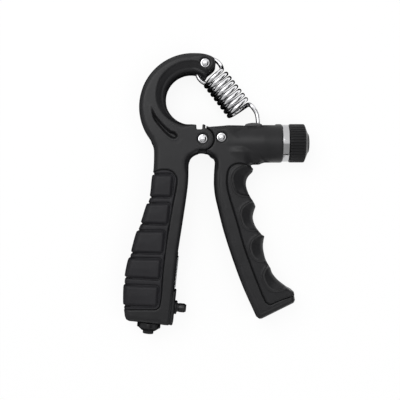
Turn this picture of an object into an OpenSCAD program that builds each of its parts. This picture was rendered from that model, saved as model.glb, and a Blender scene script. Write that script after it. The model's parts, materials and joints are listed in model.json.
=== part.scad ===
// Adjustable hand grip strengthener: two hinged handles held apart by a tension spring,
// a lead-screw resistance adjuster in the barrel and a mechanical squeeze counter in the left handle.
// All sizes are in millimetres. The object lies on its back, +Y towards the hook and +Z up.

/* [Handles] */
// Thickness of both moulded handles
body_t = 20; // [19:0.5:24]
// Length of the left handle below the pivot
handle_l = 110; // [100:1:140]
// Depth of the rubber over the handle faces
rubber_t = 1.4; // [0.8:0.1:1.6]
// Depth of the rubber over the handle edge
rubber_edge = 2; // [1:0.5:3]
// Height of the raised palm pads above the handle face
pad_rise = 1.5; // [0.5:0.1:2.5]

/* [Hook] */
// Outer radius of the hook
hook_ro = 31.9; // [31:0.1:36]
// Inner radius of the hook
hook_ri = 15.2; // [13:0.1:17]
// Width of the slot in the hook's tip that takes the spring loop
tip_slot_w = 3.2; // [2.8:0.1:5]

/* [Pivot] */
// Radius of the pivot, spring and bearing pins
pin_r = 1.6; // [1.2:0.1:2]
// Radius of the domed pin heads
pin_head_r = 2.6; // [2.2:0.1:3]
// Radius of the recess around each pin head
pin_recess_r = 3.3; // [3.1:0.1:3.6]
// Depth of the recess around each pin head
pin_recess_d = 1.2; // [0.8:0.1:2]
// Radius of the round end of the left handle's cheeks
cheek_r = 6.5; // [6.2:0.1:7]
// Thickness of the right handle's tongue
tongue_t = 7; // [5:0.5:9]
// Radius of the tongue's round end
tongue_r = 5.6; // [5:0.1:5.8]

/* [Barrel] */
// Outer radius of the barrel
barrel_r = 11.5; // [11:0.1:14]
// Radius of the bore that the slider runs in
bore_r = 8; // [7.5:0.1:8.4]
// End of the barrel, measured from the pivot
barrel_end = 47.2; // [47:0.1:60]
// Length of the chrome ring between the barrel and the knob
ring_l = 4; // [3:0.1:8]
// Outer radius of the chrome ring
ring_r = 11.1; // [9:0.1:11.5]
// Width of the slot in the barrel's top
barrel_slot_w = 8; // [7:0.1:10]

/* [Adjuster] */
// Outer radius of the lead screw's thread
screw_r = 3; // [2.5:0.1:3]
// Pitch of the lead screw's thread
screw_pitch = 1.5; // [1:0.25:2]
// Outer radius of the adjusting knob over its ribs
knob_r = 11.5; // [10:0.1:14]
// Length of the knob's ribbed part
knob_l = 9.4; // [7:0.1:14]
// Number of ribs around the knob
knob_ribs = 40; // [24:1:60]
// Length of the slider along the screw
slider_l = 10; // [9.5:0.1:12]
// Travel of the slider towards the pivot from the setting shown
slider_in = 6.5; // [2:0.1:6.5]
// Travel of the slider towards the knob from the setting shown
slider_out = 7.5; // [2:0.1:7.5]

/* [Spring] */
// Wire radius of the tension spring
wire_r = 1.3; // [0.9:0.05:1.3]
// Radius of the coils at the wire's centre
coil_r = 7.2; // [5:0.1:7.5]
// Number of coils
coils = 8; // [6:1:9]
// Radius of the loop around the hook's pin, at the wire's centre
loop_r = 7.6; // [7:0.1:8.5]

/* [Counter] */
// Radius of the number wheels
wheel_r = 5.8; // [5:0.1:6]
// Width of one number wheel
wheel_w = 4.7; // [4:0.1:4.8]
// Number of number wheels
wheel_count = 4; // [2:1:4]
// Radius of the counter's plunger
plunger_r = 2.7; // [2:0.1:3]
// Travel of the plunger
plunger_travel = 3.5; // [2:0.1:3.5]
// Rim radius of the reset knob
reset_r = 7; // [5:0.1:8.5]

/* [Hidden] */
$fn = 48;

run = 0.05;                 // radial clearance of a running fit
seat = 0.02;                // radial clearance of a fixed fit
gap = 0.3;                  // clearance between parts that pass each other
cheek_gap = 0.4;            // gap between the cheeks and the right handle around them
half_t = body_t / 2;
pad_z = half_t + pad_rise;
rest_z = max(pad_z, barrel_r, knob_r);
core_z = half_t - rubber_t;
len_k = handle_l / 110;     // stretch of the handles' outlines along their length

hook_out_c = [-5.8, 19];    // centre of the hook's outer arc
hook_in_c = [-6.9, 24];     // centre of the hook's opening
tip_pin = [1.4, 44.6];
bearing_pin_at = [11, 0.9];
screw_y = -2;
slider_pin_at = [31.2, 6];

counter_tilt = 6;           // lean of the lower handle and of everything in it
counter_at = [-16.9, 9.8 - handle_l];
face_u = -1.5;              // inner face of the left handle, in the counter's axes
end_v = -10.1;              // bottom of the left handle, in the counter's axes
wheel_u = -9;
reset_u = -14.2;
wheels_v = 11.6;
room_u = -17.5;
room_v = [-8.6, wheels_v + wheel_count * wheel_w + 2.4];
room_z = wheel_r + 1.5;
frame_wall = 1;

// ---- Geometry helpers ----

// A smooth open curve through the given points, with n steps between two of them
function smooth(p, n = 5) = let (last = len(p) - 1) [
    for (i = [0 : last - 1], j = [0 : n - 1])
        let (a = p[max(i - 1, 0)], b = p[i], c = p[i + 1], d = p[min(i + 2, last)], t = j / n)
        (2 * b + (c - a) * t + (2 * a - 5 * b + 4 * c - d) * t * t
            + (3 * b - a - 3 * c + d) * t * t * t) / 2,
    p[last]
];

// Points along an arc
function arc(c, r, from, to, n = 24) = [
    for (i = [0 : n]) let (a = from + (to - from) * i / n) c + r * [cos(a), sin(a)]
];

// Handle points below the pivot follow the handle's length
function stretch(p) = [for (q = p) [q[0], q[1] < -12 ? -12 + (q[1] + 12) * len_k : q[1]]];

// A point given in the counter's axes, in the handle's axes
function from_counter(u, v) = counter_at
    + u * [cos(counter_tilt), -sin(counter_tilt)] + v * [sin(counter_tilt), cos(counter_tilt)];

module plate(z) {
    translate([0, 0, -z]) linear_extrude(2 * z) children();
}

module in_counter() {
    translate([counter_at[0], counter_at[1], 0]) rotate([0, 0, -counter_tilt]) children();
}

// A cylinder or tube along the counter's u axis or v axis, or along the barrel
module along_u(u, v, z, r, from, to) {
    translate([from, v, z]) rotate([0, 90, 0]) cylinder(r = r, h = to - from);
}

module along_v(u, z, r, from, to) {
    translate([u, to, z]) rotate([90, 0, 0]) cylinder(r = r, h = to - from);
}

module along_barrel(r, from, to) {
    translate([from, screw_y, 0]) rotate([0, 90, 0]) cylinder(r = r, h = to - from);
}

module bar(u, v, z) {
    translate([u[0], v[0], z[0]]) cube([u[1] - u[0], v[1] - v[0], z[1] - z[0]]);
}

module at(p) {
    translate([p[0], p[1], 0]) children();
}

module pin_hole(p, r) {
    at(p) cylinder(r = r, h = 2 * rest_z, center = true);
}

module head_recess(p) {
    for (side = [-1, 1])
        at(p) translate([0, 0, side * half_t])
            cylinder(r = pin_recess_r, h = 2 * pin_recess_d, center = true);
}

// ---- Outlines ----

palm_edge = [
    [-29.6, -20], [-30.2, -24], [-31.2, -33], [-33.6, -39.6], [-36.6, -49], [-39.6, -56],
    [-42.6, -67], [-44.4, -72], [-46.2, -81], [-46.9, -88], [-47, -98], [-46.6, -101]
];

left_points = concat(
    arc(hook_out_c, hook_ro, 74.6, 217.7, 48),
    smooth([[-30.2, -2.6], [-29, -6], [-28.9, -12], [-29.2, -18], [-29.6, -20]]),
    stretch(smooth(palm_edge)),
    [from_counter(-28.6, end_v + 2.6), from_counter(-27.6, end_v + 0.8),
        from_counter(-25.8, end_v)],
    [from_counter(face_u - 1, end_v), from_counter(face_u, end_v + 1),
        from_counter(face_u, 33)],
    stretch(smooth([[-13, -55], [-10.4, -38], [-8.9, -26.5], [-8.5, -18], [-8.3, -14],
        [-7.1, -11], [-5, -9.1], [-2.8, -8.2]])),
    arc([0, 0], cheek_r, -104, 77, 30),
    [[1.7, 7.9], [0.7, 8.6], [-0.2, 8.4], [-0.2, 6], [-0.7, 5.6], [-3.2, 5.6], [-3.7, 6],
        [-3.7, 8.3]],
    arc(hook_in_c, hook_ri, 264, 75, 48),
    smooth([[-1.4, 38], [0.7, 36], [1.7, 36.4], [3.1, 39], [5.9, 41.4], [7.4, 43.3],
        [7.6, 45.2], [6.7, 47.7], [4.6, 49.1]])
);

// The handle face that the palm rubber covers
palm_region = stretch(concat(
    [[-60, -104], [-60, -20.4], [-29.6, -20]],
    smooth([[-27, -18.8], [-23, -18.2], [-19, -18.8], [-16.2, -21.4], [-15.2, -26],
        [-18, -41], [-20.9, -58.6], [-23.1, -76], [-24.5, -93.5], [-25.6, -99]]),
    [[-27.4, -100.4], [-60, -100.4]]
));

// Corners of each palm pad: outer top, outer bottom, inner bottom, inner top
palm_pads = [
    [[-30.6, -21.5], [-31.9, -33.6], [-18.7, -33.9], [-17.6, -21.4]],
    [[-34.3, -38.6], [-37.2, -49.2], [-20.8, -50], [-19.4, -38.3]],
    [[-40.2, -54.7], [-43.2, -66.4], [-23.6, -67], [-22.4, -54.6]],
    [[-44.9, -70.6], [-46.8, -80.8], [-25.6, -82.2], [-24.6, -71]],
    [[-47.3, -86.2], [-47.5, -97.4], [-27, -98.1], [-26.1, -87]]
];

finger_edge = concat(
    [[28.8, -16.2], [30, -17.4]],
    smooth([[29.6, -19.4], [26.8, -22.6], [25.8, -27], [27.4, -33], [30.6, -38]]),
    smooth([[31.4, -40], [30.4, -43.4], [29.9, -47], [31.4, -52], [34.8, -56.4]]),
    smooth([[36.6, -57.4], [36.2, -60.4], [36.1, -65], [37, -70.6], [38.4, -73.6]]),
    smooth([[40.2, -76.4], [41.6, -79.8], [45.4, -84.2], [51.2, -88.8]]),
    [[53.6, -90], [53.9, -91.4]]
);

right_points = concat(
    arc([0, 0], cheek_r - 1, 70, -70, 12),
    smooth([[2.1, -7.8], [3.8, -8.9], [5.6, -10.1], [6.9, -11.8], [7.3, -13.2]]),
    stretch(smooth([[7.3, -14], [6.9, -20], [6.8, -27], [7.6, -34], [9.2, -41], [12.8, -55.2],
        [18.2, -72], [24.2, -88.2], [31, -103.4]])),
    stretch([[31.6, -104.8], [33.4, -106.2], [35, -106], [53.6, -96.8], [54.5, -95.2]]),
    stretch([for (i = [len(finger_edge) - 1 : -1 : 0]) finger_edge[i]]),
    smooth([[27.6, -15.4], [29.4, -14], [33, -13.6]]),
    [[33, screw_y], [33, 6], [28, 8.4], [15, 8.2], [8, 7.5], [3.8, 7], [2.2, 7.7]]
);

// The handle face that the finger rubber covers
finger_region = stretch(concat(
    [[70, -92.6], [70, -16.8], [29.4, -16.8]],
    smooth([[26, -15.2], [21, -14.4], [16.8, -16], [14.4, -20.4], [14.6, -30.2], [19.9, -48.4],
        [24.4, -64.1], [29.6, -78.4], [35, -92]]),
    smooth([[37, -96], [39.8, -97.4], [44, -95.6], [52.4, -92.6]])
));

// Face side of each finger scoop: its centre, its half width and its half height
finger_scoops = [
    [[25.4, -26], 7.6, 6.6], [[30.6, -45.6], 7.4, 5.4],
    [[36.2, -63.4], 7.6, 5.6], [[44.6, -83.4], 7.4, 6.6]
];

// ---- Left handle ----

module core(points, region) {
    difference() {
        plate(half_t) polygon(points);
        difference() {
            plate(rest_z) polygon(region);
            plate(core_z) offset(delta = -rubber_edge) polygon(points);
        }
    }
}

module slot_for_loop() {
    swing = 9;                  // how far the spring turns about its pin, each way
    plate(tip_slot_w / 2) hull() for (a = [-swing, swing], s = [loop_c, loop_c + loop_r])
        at(tip_pin) rotate(a) at(pull_dir * s) circle(r = loop_r + wire_r + gap);
}

module crescent_groove() {
    for (side = [-1, 1])
        translate([0, 0, side * half_t]) plate(1.2) polygon(concat(
            smooth([[-30.2, 19], [-29.2, 12.2], [-24.8, 6], [-20, 1.2], [-16.6, -0.2],
                [-14.6, 1.6], [-16.3, 4]]),
            smooth([[-18.8, 4.8], [-22.4, 7.9], [-26.7, 12.7], [-29.2, 17]])
        ));
}

slot_reach = 12;    // how far the tongue's slot runs beyond the pivot
swing_room = 2.4;   // room in the slot for the tongue's root when the handles are squeezed

module left_handle() {
    color([0.24, 0.24, 0.25]) difference() {
        core(left_points, palm_region);
        slot_for_loop();
        crescent_groove();
        plate(tongue_t / 2 + gap / 2) {
            circle(r = tongue_r + cheek_gap);
            translate([0, -slot_reach]) square([slot_reach, 2 * slot_reach]);
            translate([-swing_room, -slot_reach]) square([slot_reach / 2, slot_reach - 3]);
        }
        pin_hole([0, 0], pin_r + seat);
        pin_hole(tip_pin, pin_r + seat);
        head_recess([0, 0]);
        head_recess(tip_pin);
        in_counter() {
            bar([room_u, face_u + 3], room_v, [-room_z, room_z]);
            along_v(reset_u, 0, 1.8 + run, end_v - 5, room_v[0] + 1);
        }
    }
}

module palm_grip() {
    color([0.2, 0.2, 0.21]) {
        difference() {
            plate(half_t) intersection() {
                polygon(left_points);
                polygon(palm_region);
            }
            plate(core_z) offset(delta = -rubber_edge) polygon(left_points);
        }
        for (side = [-1, 1], pad = palm_pads)
            translate([0, 0, side * (half_t + pad_rise / 2)]) plate(pad_rise / 2)
                intersection() {
                    offset(r = 1.6) offset(delta = -1.6) polygon(stretch(pad));
                    polygon(left_points);
                }
    }
}

// A pin through the whole thickness with a domed head at each face
module rivet(p) {
    shank = half_t - pin_recess_d;
    dome_r = 3.4;
    at(p) {
        cylinder(r = pin_r, h = 2 * shank, center = true);
        for (side = [-1, 1]) {
            translate([0, 0, side * (shank + 0.4)]) cylinder(r = pin_head_r, h = 0.8, center = true);
            intersection() {
                translate([0, 0, side * (shank + 1.7 - dome_r)]) sphere(r = dome_r);
                translate([0, 0, side * (shank + 1.75)])
                    cylinder(r = pin_head_r - 0.4, h = 1.9, center = true);
            }
        }
    }
}

module pivot_pin() {
    color([0.85, 0.85, 0.87]) rivet([0, 0]);
}

module spring_pin() {
    color([0.85, 0.85, 0.87]) rivet(tip_pin);
}

// One thin washer on each side of the tongue, let into the cheeks' slot
module pivot_washers() {
    washer_t = gap / 2 - 0.04;
    color([0.9, 0.9, 0.88]) for (side = [-1, 1])
        translate([0, 0, side * (tongue_t / 2 + gap / 2 - washer_t / 2)]) difference() {
            cylinder(r = tongue_r - 0.6, h = washer_t, center = true);
            cylinder(r = pin_r + run, h = 1, center = true);
        }
}

// ---- Counter in the left handle ----

pinion_r = 1.8;
neck_r = wheel_r - 1.4;     // the wheels' narrow part, where the pinions reach in
neck_w = 1.4;
pinion_d = neck_r + pinion_r + gap;
pinion_u = wheel_u - pinion_d * cos(50);
pinion_z = pinion_d * sin(50);
shaft_r = 1.2;
gear_pitch_r = (wheel_u - reset_u) / 2;
lens_u = [face_u - 0.9, face_u + 0.3];
window_v = [wheels_v - 0.2, wheels_v + wheel_count * wheel_w + 0.2];
window_z = wheel_r - 0.8;
bezel_u = face_u - 1.5;
boss_v = [end_v + 0.2, window_v[0] - 1.2];

module counter_frame() {
    inside = room_z - 0.1;
    color([0.75, 0.74, 0.7]) in_counter() difference() {
        union() {
            bar([room_u + 0.1, room_u + 0.1 + frame_wall], room_v + [0.1, -0.1],
                [-inside, inside]);
            bar([room_u + 0.1, bezel_u - 0.05], [room_v[0] + 0.1, room_v[0] + 0.1 + frame_wall],
                [-inside, inside]);
            bar([room_u + 0.1, bezel_u - 0.05], [wheels_v - 2.8, wheels_v - 2.8 + frame_wall],
                [-inside, inside]);
            bar([room_u + 0.1, bezel_u - 0.05], [room_v[1] - 0.1 - frame_wall, room_v[1] - 0.1],
                [-inside, inside]);
        }
        along_v(wheel_u, 0, shaft_r + run, room_v[0] - 1, room_v[1] + 1);
        along_v(wheel_u, 0, 2.6 + run, wheels_v - 4, wheels_v - 1);
        along_v(pinion_u, pinion_z, 0.5 + seat, wheels_v - 4, room_v[1] + 1);
        along_v(reset_u, 0, shaft_r + run, room_v[0] - 1, room_v[0] + 2);
        bar([room_u, room_u + 2], [gear_v0 - 0.5, gear_v1 + 0.5], [-3.4, 3.4]);
    }
}

module counter_bezel() {
    edge_z = room_z - 0.1;
    color([0.16, 0.16, 0.17]) in_counter() difference() {
        union() {
            bar([bezel_u, face_u], room_v + [0.1, -0.1], [-edge_z, edge_z]);
            bar([face_u, 0], boss_v, [-edge_z - 0.7, edge_z + 0.7]);
        }
        bar([bezel_u - 1, face_u + 1], window_v, [-window_z, window_z]);
        along_u(0, 0, 0, plunger_r + 0.9 + seat, bezel_u - 1, 1);
    }
}

module counter_lens() {
    color([0.8, 0.85, 0.88, 0.5]) in_counter()
        bar(lens_u, window_v + [0.05, -0.05], [-window_z + 0.05, window_z - 0.05]);
}

// A spur gear's outline with slim teeth, so that a pair runs with backlash
function gear_points(teeth, r) = let (m = 2 * r / teeth, step = 360 / teeth) [
    for (i = [0 : teeth - 1], k = [
        [r - 1.2 * m, -0.3], [r, -0.2], [r + 0.8 * m, -0.09],
        [r + 0.8 * m, 0.09], [r, 0.2], [r - 1.2 * m, 0.3]
    ]) let (a = (i + k[1]) * step) k[0] * [cos(a), sin(a)]
];

module gear_v(u, from, to, turn) {
    teeth = 10;
    translate([u, to, 0]) rotate([90, 0, 0]) rotate([0, 0, turn])
        linear_extrude(to - from) polygon(gear_points(teeth, gear_pitch_r));
}

gear_v0 = room_v[0] + frame_wall + 0.4;
gear_v1 = gear_v0 + 2.2;

module counter_shaft() {
    color([0.8, 0.8, 0.82]) in_counter() {
        along_v(wheel_u, 0, shaft_r, room_v[0] + 0.2, room_v[1] - 0.2);
        difference() {
            gear_v(wheel_u, gear_v0, gear_v1, 0);
            along_v(wheel_u, 0, shaft_r - 0.1, gear_v0 - 1, gear_v1 + 1);
        }
    }
}

module reset_gear() {
    color([0.8, 0.8, 0.82]) in_counter() {
        along_v(reset_u, 0, shaft_r, end_v - 4, gear_v1 + 0.6);
        difference() {
            gear_v(reset_u, gear_v0, gear_v1, 18);
            along_v(reset_u, 0, shaft_r - 0.1, gear_v0 - 1, gear_v1 + 1);
        }
    }
}

// Number wheel i, counted from the plunger's end; its neck is on the far side
module number_wheel(i) {
    from = wheels_v + i * wheel_w;
    in_counter() difference() {
        union() {
            along_v(wheel_u, 0, wheel_r, from, from + wheel_w - neck_w - 0.1);
            along_v(wheel_u, 0, neck_r, from + 0.5, from + wheel_w - 0.1);
        }
        along_v(wheel_u, 0, shaft_r + run, from - 1, from + wheel_w + 1);
    }
}

module units_wheel() {
    ratchet_v = [wheels_v - 6.2, wheels_v - 4.2];
    color([0.93, 0.93, 0.9]) {
        number_wheel(0);
        in_counter() difference() {
            union() {
                along_v(wheel_u, 0, 2.6, ratchet_v[0] + 0.5, wheels_v + 0.5);
                translate([wheel_u, ratchet_v[1], 0]) rotate([90, 0, 0])
                    linear_extrude(ratchet_v[1] - ratchet_v[0]) polygon([
                        for (i = [0 : 9], k = [[4.4, 0], [3.2, 4]])
                            k[0] * [cos(i * 36 + k[1]), sin(i * 36 + k[1])]
                    ]);
            }
            along_v(wheel_u, 0, shaft_r + run, ratchet_v[0] - 1, wheels_v + 1);
        }
    }
}

module tens_wheel() {
    color([0.93, 0.93, 0.9]) number_wheel(1);
}

module hundreds_wheel() {
    color([0.93, 0.93, 0.9]) number_wheel(2);
}

module thousands_wheel() {
    color([0.93, 0.93, 0.9]) number_wheel(3);
}

module transfer_pinions() {
    color([0.88, 0.86, 0.8]) in_counter()
        for (i = [0 : wheel_count - 2]) {
            to = wheels_v + (i + 1) * wheel_w - 0.2;
            translate([pinion_u, to, pinion_z]) rotate([90, 0, 0]) difference() {
                linear_extrude(neck_w - 0.3) polygon([
                    for (k = [0 : 5], p = [[pinion_r, -9], [pinion_r, 9], [1, 21], [1, 39]])
                        p[0] * [cos(k * 60 + p[1]), sin(k * 60 + p[1])]
                ]);
                translate([0, 0, -1]) cylinder(r = 0.5 + run, h = neck_w + 2);
            }
        }
}

module pinion_rod() {
    color([0.8, 0.8, 0.82]) in_counter()
        along_v(pinion_u, pinion_z, 0.5, wheels_v - 2.8, room_v[1] - 0.1);
}

head_u = bezel_u - 0.1;     // front of the plunger's cross head
head_t = 1;
head_v = 3.4;
side_z = wheel_r - 0.8;     // distance of the pawl and the return spring from the plunger's axis
plunger_out = 7;

module plunger() {
    color([0.13, 0.13, 0.14]) in_counter() {
        along_u(0, 0, 0, plunger_r, head_u - head_t / 2, plunger_out - 0.5);
        along_u(0, 0, 0, plunger_r - 0.5, plunger_out - 1, plunger_out);
        bar([head_u - head_t, head_u], [-head_v, head_v], [-side_z - 1.7, side_z + 1.6]);
    }
}

module plunger_bush() {
    color([0.2, 0.2, 0.21]) in_counter() difference() {
        union() {
            along_u(0, 0, 0, plunger_r + 1.4, 0, 1.5);
            along_u(0, 0, 0, plunger_r + 0.9, bezel_u, 0.1);
        }
        along_u(0, 0, 0, plunger_r + run, bezel_u - 1, 2);
    }
}

module drive_pawl() {
    color([0.8, 0.8, 0.82]) in_counter()
        bar([head_u - head_t - 1.6, head_u - head_t], [0.5, wheels_v - 4.4], [side_z, side_z + 1]);
}

// A tube along a list of centre points, as one closed solid
module tube_along(path, r, sides = 8) {
    n = len(path);
    rings = [
        for (i = [0 : n - 1]) let (
            d = path[min(i + 1, n - 1)] - path[max(i - 1, 0)],
            t = d / norm(d),
            s0 = cross(t, [0.13, 0.31, 0.94]),
            s = s0 / norm(s0),
            w = cross(t, s)
        ) [for (k = [0 : sides - 1]) path[i] + r * (cos(k * 360 / sides) * s
            + sin(k * 360 / sides) * w)]
    ];
    polyhedron(
        points = [for (ring = rings, p = ring) p],
        faces = concat(
            [[for (k = [0 : sides - 1]) sides - 1 - k]],
            [for (i = [0 : n - 2], k = [0 : sides - 1]) let (a = i * sides, b = (k + 1) % sides)
                each [[a + k, a + b, a + sides + b], [a + k, a + sides + b, a + sides + k]]],
            [[for (k = [0 : sides - 1]) (n - 1) * sides + k]]
        )
    );
}

module plunger_spring() {
    from = head_u - head_t - 0.35;
    to = room_u + 0.1 + frame_wall + 0.35;
    turns = 7;
    steps = 10;
    color([0.8, 0.8, 0.82]) in_counter() tube_along([
        for (i = [0 : turns * steps]) let (a = i * 360 / steps)
            [from + (to - from) * i / (turns * steps), 1.2 * cos(a), -side_z + 1.2 * sin(a)]
    ], 0.25, 6);
}

reset_top_v = end_v - gap;
reset_core_r = reset_r / 2 - 0.3;
reset_l = 6.9;

module reset_knob() {
    color([0.15, 0.15, 0.16]) in_counter() difference() {
        translate([reset_u, reset_top_v, 0]) rotate([90, 0, 0]) {
            linear_extrude(3.3) polygon([
                for (i = [0 : 15]) (i % 2 == 0 ? reset_r : reset_r - 0.5)
                    * [cos(i * 22.5), sin(i * 22.5)]
            ]);
            translate([0, 0, 3.3]) cylinder(r1 = reset_r - 0.8, r2 = reset_r / 2 + 0.6, h = 1.7);
            translate([0, 0, reset_l - 2]) cylinder(r = reset_core_r, h = 2);
            translate([0, 0, -1.4]) cylinder(r = 1.8, h = 2);
        }
        along_v(reset_u, 0, shaft_r + seat, end_v - 4.1, end_v + 9);
    }
}

// ---- Right handle ----

slider_x = [slider_pin_at[0] - 0.58 * slider_l, slider_pin_at[0] + 0.42 * slider_l];
slot_x = [slider_x[0] - slider_in - 0.5, slider_x[1] + slider_out + 0.5];
bearing_x = [bearing_pin_at[0] - pin_r - 0.8, slider_x[0] - slider_in - 0.7];
spigot_x = slider_x[1] + slider_out + 1.3;
journal_r = 2;
journal_x = bearing_pin_at[0] + pin_r + 0.7;
ring_end = barrel_end + ring_l;
knob_x = ring_end + 0.15;
knob_end = knob_x + knob_l;

module barrel_shell() {
    taper_to = 36;
    translate([4.2, screw_y, 0]) rotate([0, 90, 0])
        cylinder(r1 = barrel_r - 2.4, r2 = barrel_r, h = taper_to - 4.2);
    along_barrel(barrel_r, taper_to - 0.1, barrel_end);
}

module right_handle() {
    color([0.24, 0.24, 0.25]) difference() {
        union() {
            core(right_points, finger_region);
            barrel_shell();
            plate(tongue_t / 2) {
                circle(r = tongue_r);
                translate([0, -tongue_r]) square([slot_reach, 2 * tongue_r]);
            }
        }
        difference() {
            plate(rest_z) circle(r = cheek_r + cheek_gap);
            plate(tongue_t / 2) circle(r = 3 * cheek_r);
        }
        along_barrel(bore_r, bearing_x[0], barrel_end + 1);
        bar(slot_x, [screw_y, barrel_r + 2], [-barrel_slot_w / 2, barrel_slot_w / 2]);
        pin_hole([0, 0], pin_r + run + 0.01);
        pin_hole(bearing_pin_at, pin_r + seat);
        head_recess(bearing_pin_at);
    }
}

module finger_grip() {
    color([0.17, 0.17, 0.18]) difference() {
        union() {
            plate(half_t) intersection() {
                polygon(right_points);
                polygon(finger_region);
            }
            for (side = [-1, 1])
                translate([0, 0, side * (half_t + pad_rise / 2)]) plate(pad_rise / 2)
                    intersection() {
                        polygon(right_points);
                        offset(r = 2) offset(delta = -3.2) polygon(finger_region);
                    }
        }
        plate(core_z) offset(delta = -rubber_edge) polygon(right_points);
        for (side = [-1, 1], s = finger_scoops)
            translate([0, 0, side * (half_t + pad_rise)]) plate(pad_rise + 0.6)
                at(stretch([s[0]])[0]) rotate(20) scale([s[1], s[2]]) circle(r = 1, $fn = 24);
    }
}

module screw_bearing() {
    color([0.85, 0.84, 0.8]) difference() {
        along_barrel(bore_r - seat, bearing_x[0] + 0.05, bearing_x[1]);
        along_barrel(journal_r + run, journal_x - 0.4, bearing_x[1] + 1);
        pin_hole(bearing_pin_at, pin_r + seat);
    }
}

module bearing_pin() {
    color([0.85, 0.85, 0.87]) rivet(bearing_pin_at);
}

module end_ring() {
    color([0.85, 0.85, 0.87]) difference() {
        union() {
            along_barrel(ring_r, barrel_end, ring_end);
            along_barrel(bore_r - seat, spigot_x, barrel_end + 0.1);
        }
        along_barrel(screw_r + run, spigot_x - 1, ring_end + 1);
    }
}

// ---- Adjuster ----

clip_t = 0.7;
clip_x = spigot_x - 0.1 - clip_t;
clip_groove_r = screw_r - 0.4;
thread_x = [bearing_x[1] + 0.5, clip_x - 0.4];
washer_t = 0.8;
screw_end = knob_x + knob_l - 4;
cap_r = 5.6;

module lead_screw() {
    depth = 0.45;
    turns = floor((thread_x[1] - thread_x[0]) / screw_pitch);
    color([0.72, 0.72, 0.74]) difference() {
        union() {
            along_barrel(journal_r, journal_x, thread_x[0] + 0.1);
            translate([thread_x[0], screw_y, 0]) rotate([0, 90, 0]) rotate_extrude() polygon(concat(
                [[0, 0], [screw_r - depth, 0]],
                [for (i = [0 : turns - 1], k = [[-depth, 0.15], [0, 0.4], [0, 0.6], [-depth, 0.85]])
                    [screw_r + k[0], (i + k[1]) * screw_pitch]],
                [[screw_r - depth, turns * screw_pitch], [0, turns * screw_pitch]]
            ));
            along_barrel(clip_groove_r, thread_x[0] + turns * screw_pitch - 0.1, clip_x + clip_t);
            along_barrel(screw_r, clip_x + clip_t, screw_end);
        }
        along_barrel(1.25, screw_end - 5, screw_end + 1);
    }
}

module retaining_clip() {
    color([0.5, 0.5, 0.52]) difference() {
        along_barrel(screw_r + 1.6, clip_x, clip_x + clip_t - 0.05);
        along_barrel(clip_groove_r + seat, clip_x - 1, clip_x + clip_t + 1);
        bar([clip_x - 1, clip_x + 2], [screw_y - 8, screw_y], [-1.4, 1.4]);
    }
}

module thrust_washer() {
    color([0.8, 0.8, 0.82]) difference() {
        along_barrel(screw_r + 2, ring_end + 0.05, ring_end + 0.05 + washer_t);
        along_barrel(screw_r + seat, ring_end - 1, ring_end + 3);
    }
}

module adjust_knob() {
    rib_d = 0.5;
    recess = washer_t + 0.05;
    color([0.19, 0.19, 0.2]) difference() {
        union() {
            translate([knob_x, screw_y, 0]) rotate([0, 90, 0]) linear_extrude(knob_l) polygon([
                for (i = [0 : knob_ribs - 1], k = [[-rib_d, -0.28], [0, -0.18], [0, 0.18], [-rib_d, 0.28]])
                    let (a = (i + k[1]) * 360 / knob_ribs) (knob_r + k[0]) * [cos(a), sin(a)]
            ]);
            translate([knob_end - 0.1, screw_y, 0]) rotate([0, 90, 0])
                cylinder(r1 = knob_r - rib_d, r2 = cap_r + 0.6, h = 2);
        }
        along_barrel(screw_r + 2.2, knob_x - 1, knob_x + recess);
        along_barrel(screw_r + seat, knob_x - 1, screw_end);
        along_barrel(1.3, screw_end - 1, screw_end + 2);
        along_barrel(cap_r - 1.2, screw_end + 1, knob_end + 3);
    }
}

module knob_screw() {
    color([0.7, 0.7, 0.72]) {
        along_barrel(1.2, screw_end - 4.5, screw_end + 1.1);
        along_barrel(2.6, screw_end + 1.05, screw_end + 2.6);
    }
}

module knob_cap() {
    color([0.17, 0.17, 0.18]) {
        along_barrel(cap_r, knob_end + 1.95, knob_end + 2.6);
        along_barrel(cap_r - 1.2 - seat, knob_end + 0.6, knob_end + 2);
    }
}

module slider() {
    tab_w = barrel_slot_w - 0.6;
    color([0.42, 0.42, 0.43]) difference() {
        union() {
            along_barrel(bore_r - 0.2, slider_x[0], slider_x[1]);
            bar(slider_x, [screw_y, screw_y + barrel_r + 0.8], [-tab_w / 2, tab_w / 2]);
        }
        along_barrel(screw_r + run, slider_x[0] - 1, slider_x[1] + 1);
        bar([slider_pin_at[0] - pin_r - 2 * wire_r - 0.4, slider_x[1] + 1],
            [slider_pin_at[1] - pin_r - 2 * wire_r - 0.5, 20], [-wire_r - gap, wire_r + gap]);
        pin_hole(slider_pin_at, pin_r + seat);
    }
}

module slider_pin() {
    color([0.85, 0.85, 0.87]) at(slider_pin_at)
        cylinder(r = pin_r, h = barrel_slot_w - 0.7, center = true);
}

// ---- Tension spring ----

pull = slider_pin_at - tip_pin;
pull_l = norm(pull);
pull_dir = pull / pull_l;
side_dir = [-pull_dir[1], pull_dir[0]];
hook_wire_r = pin_r + wire_r + 0.15;
loop_c = loop_r - wire_r - pin_r - 0.15;      // loop's centre, beyond the hook's pin
coil_from = loop_c + loop_r * 0.52;
coil_to = pull_l - 14.6;

function on_spring(s, w, z) = let (p = tip_pin + pull_dir * s + side_dir * w) [p[0], p[1], z];

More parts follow.
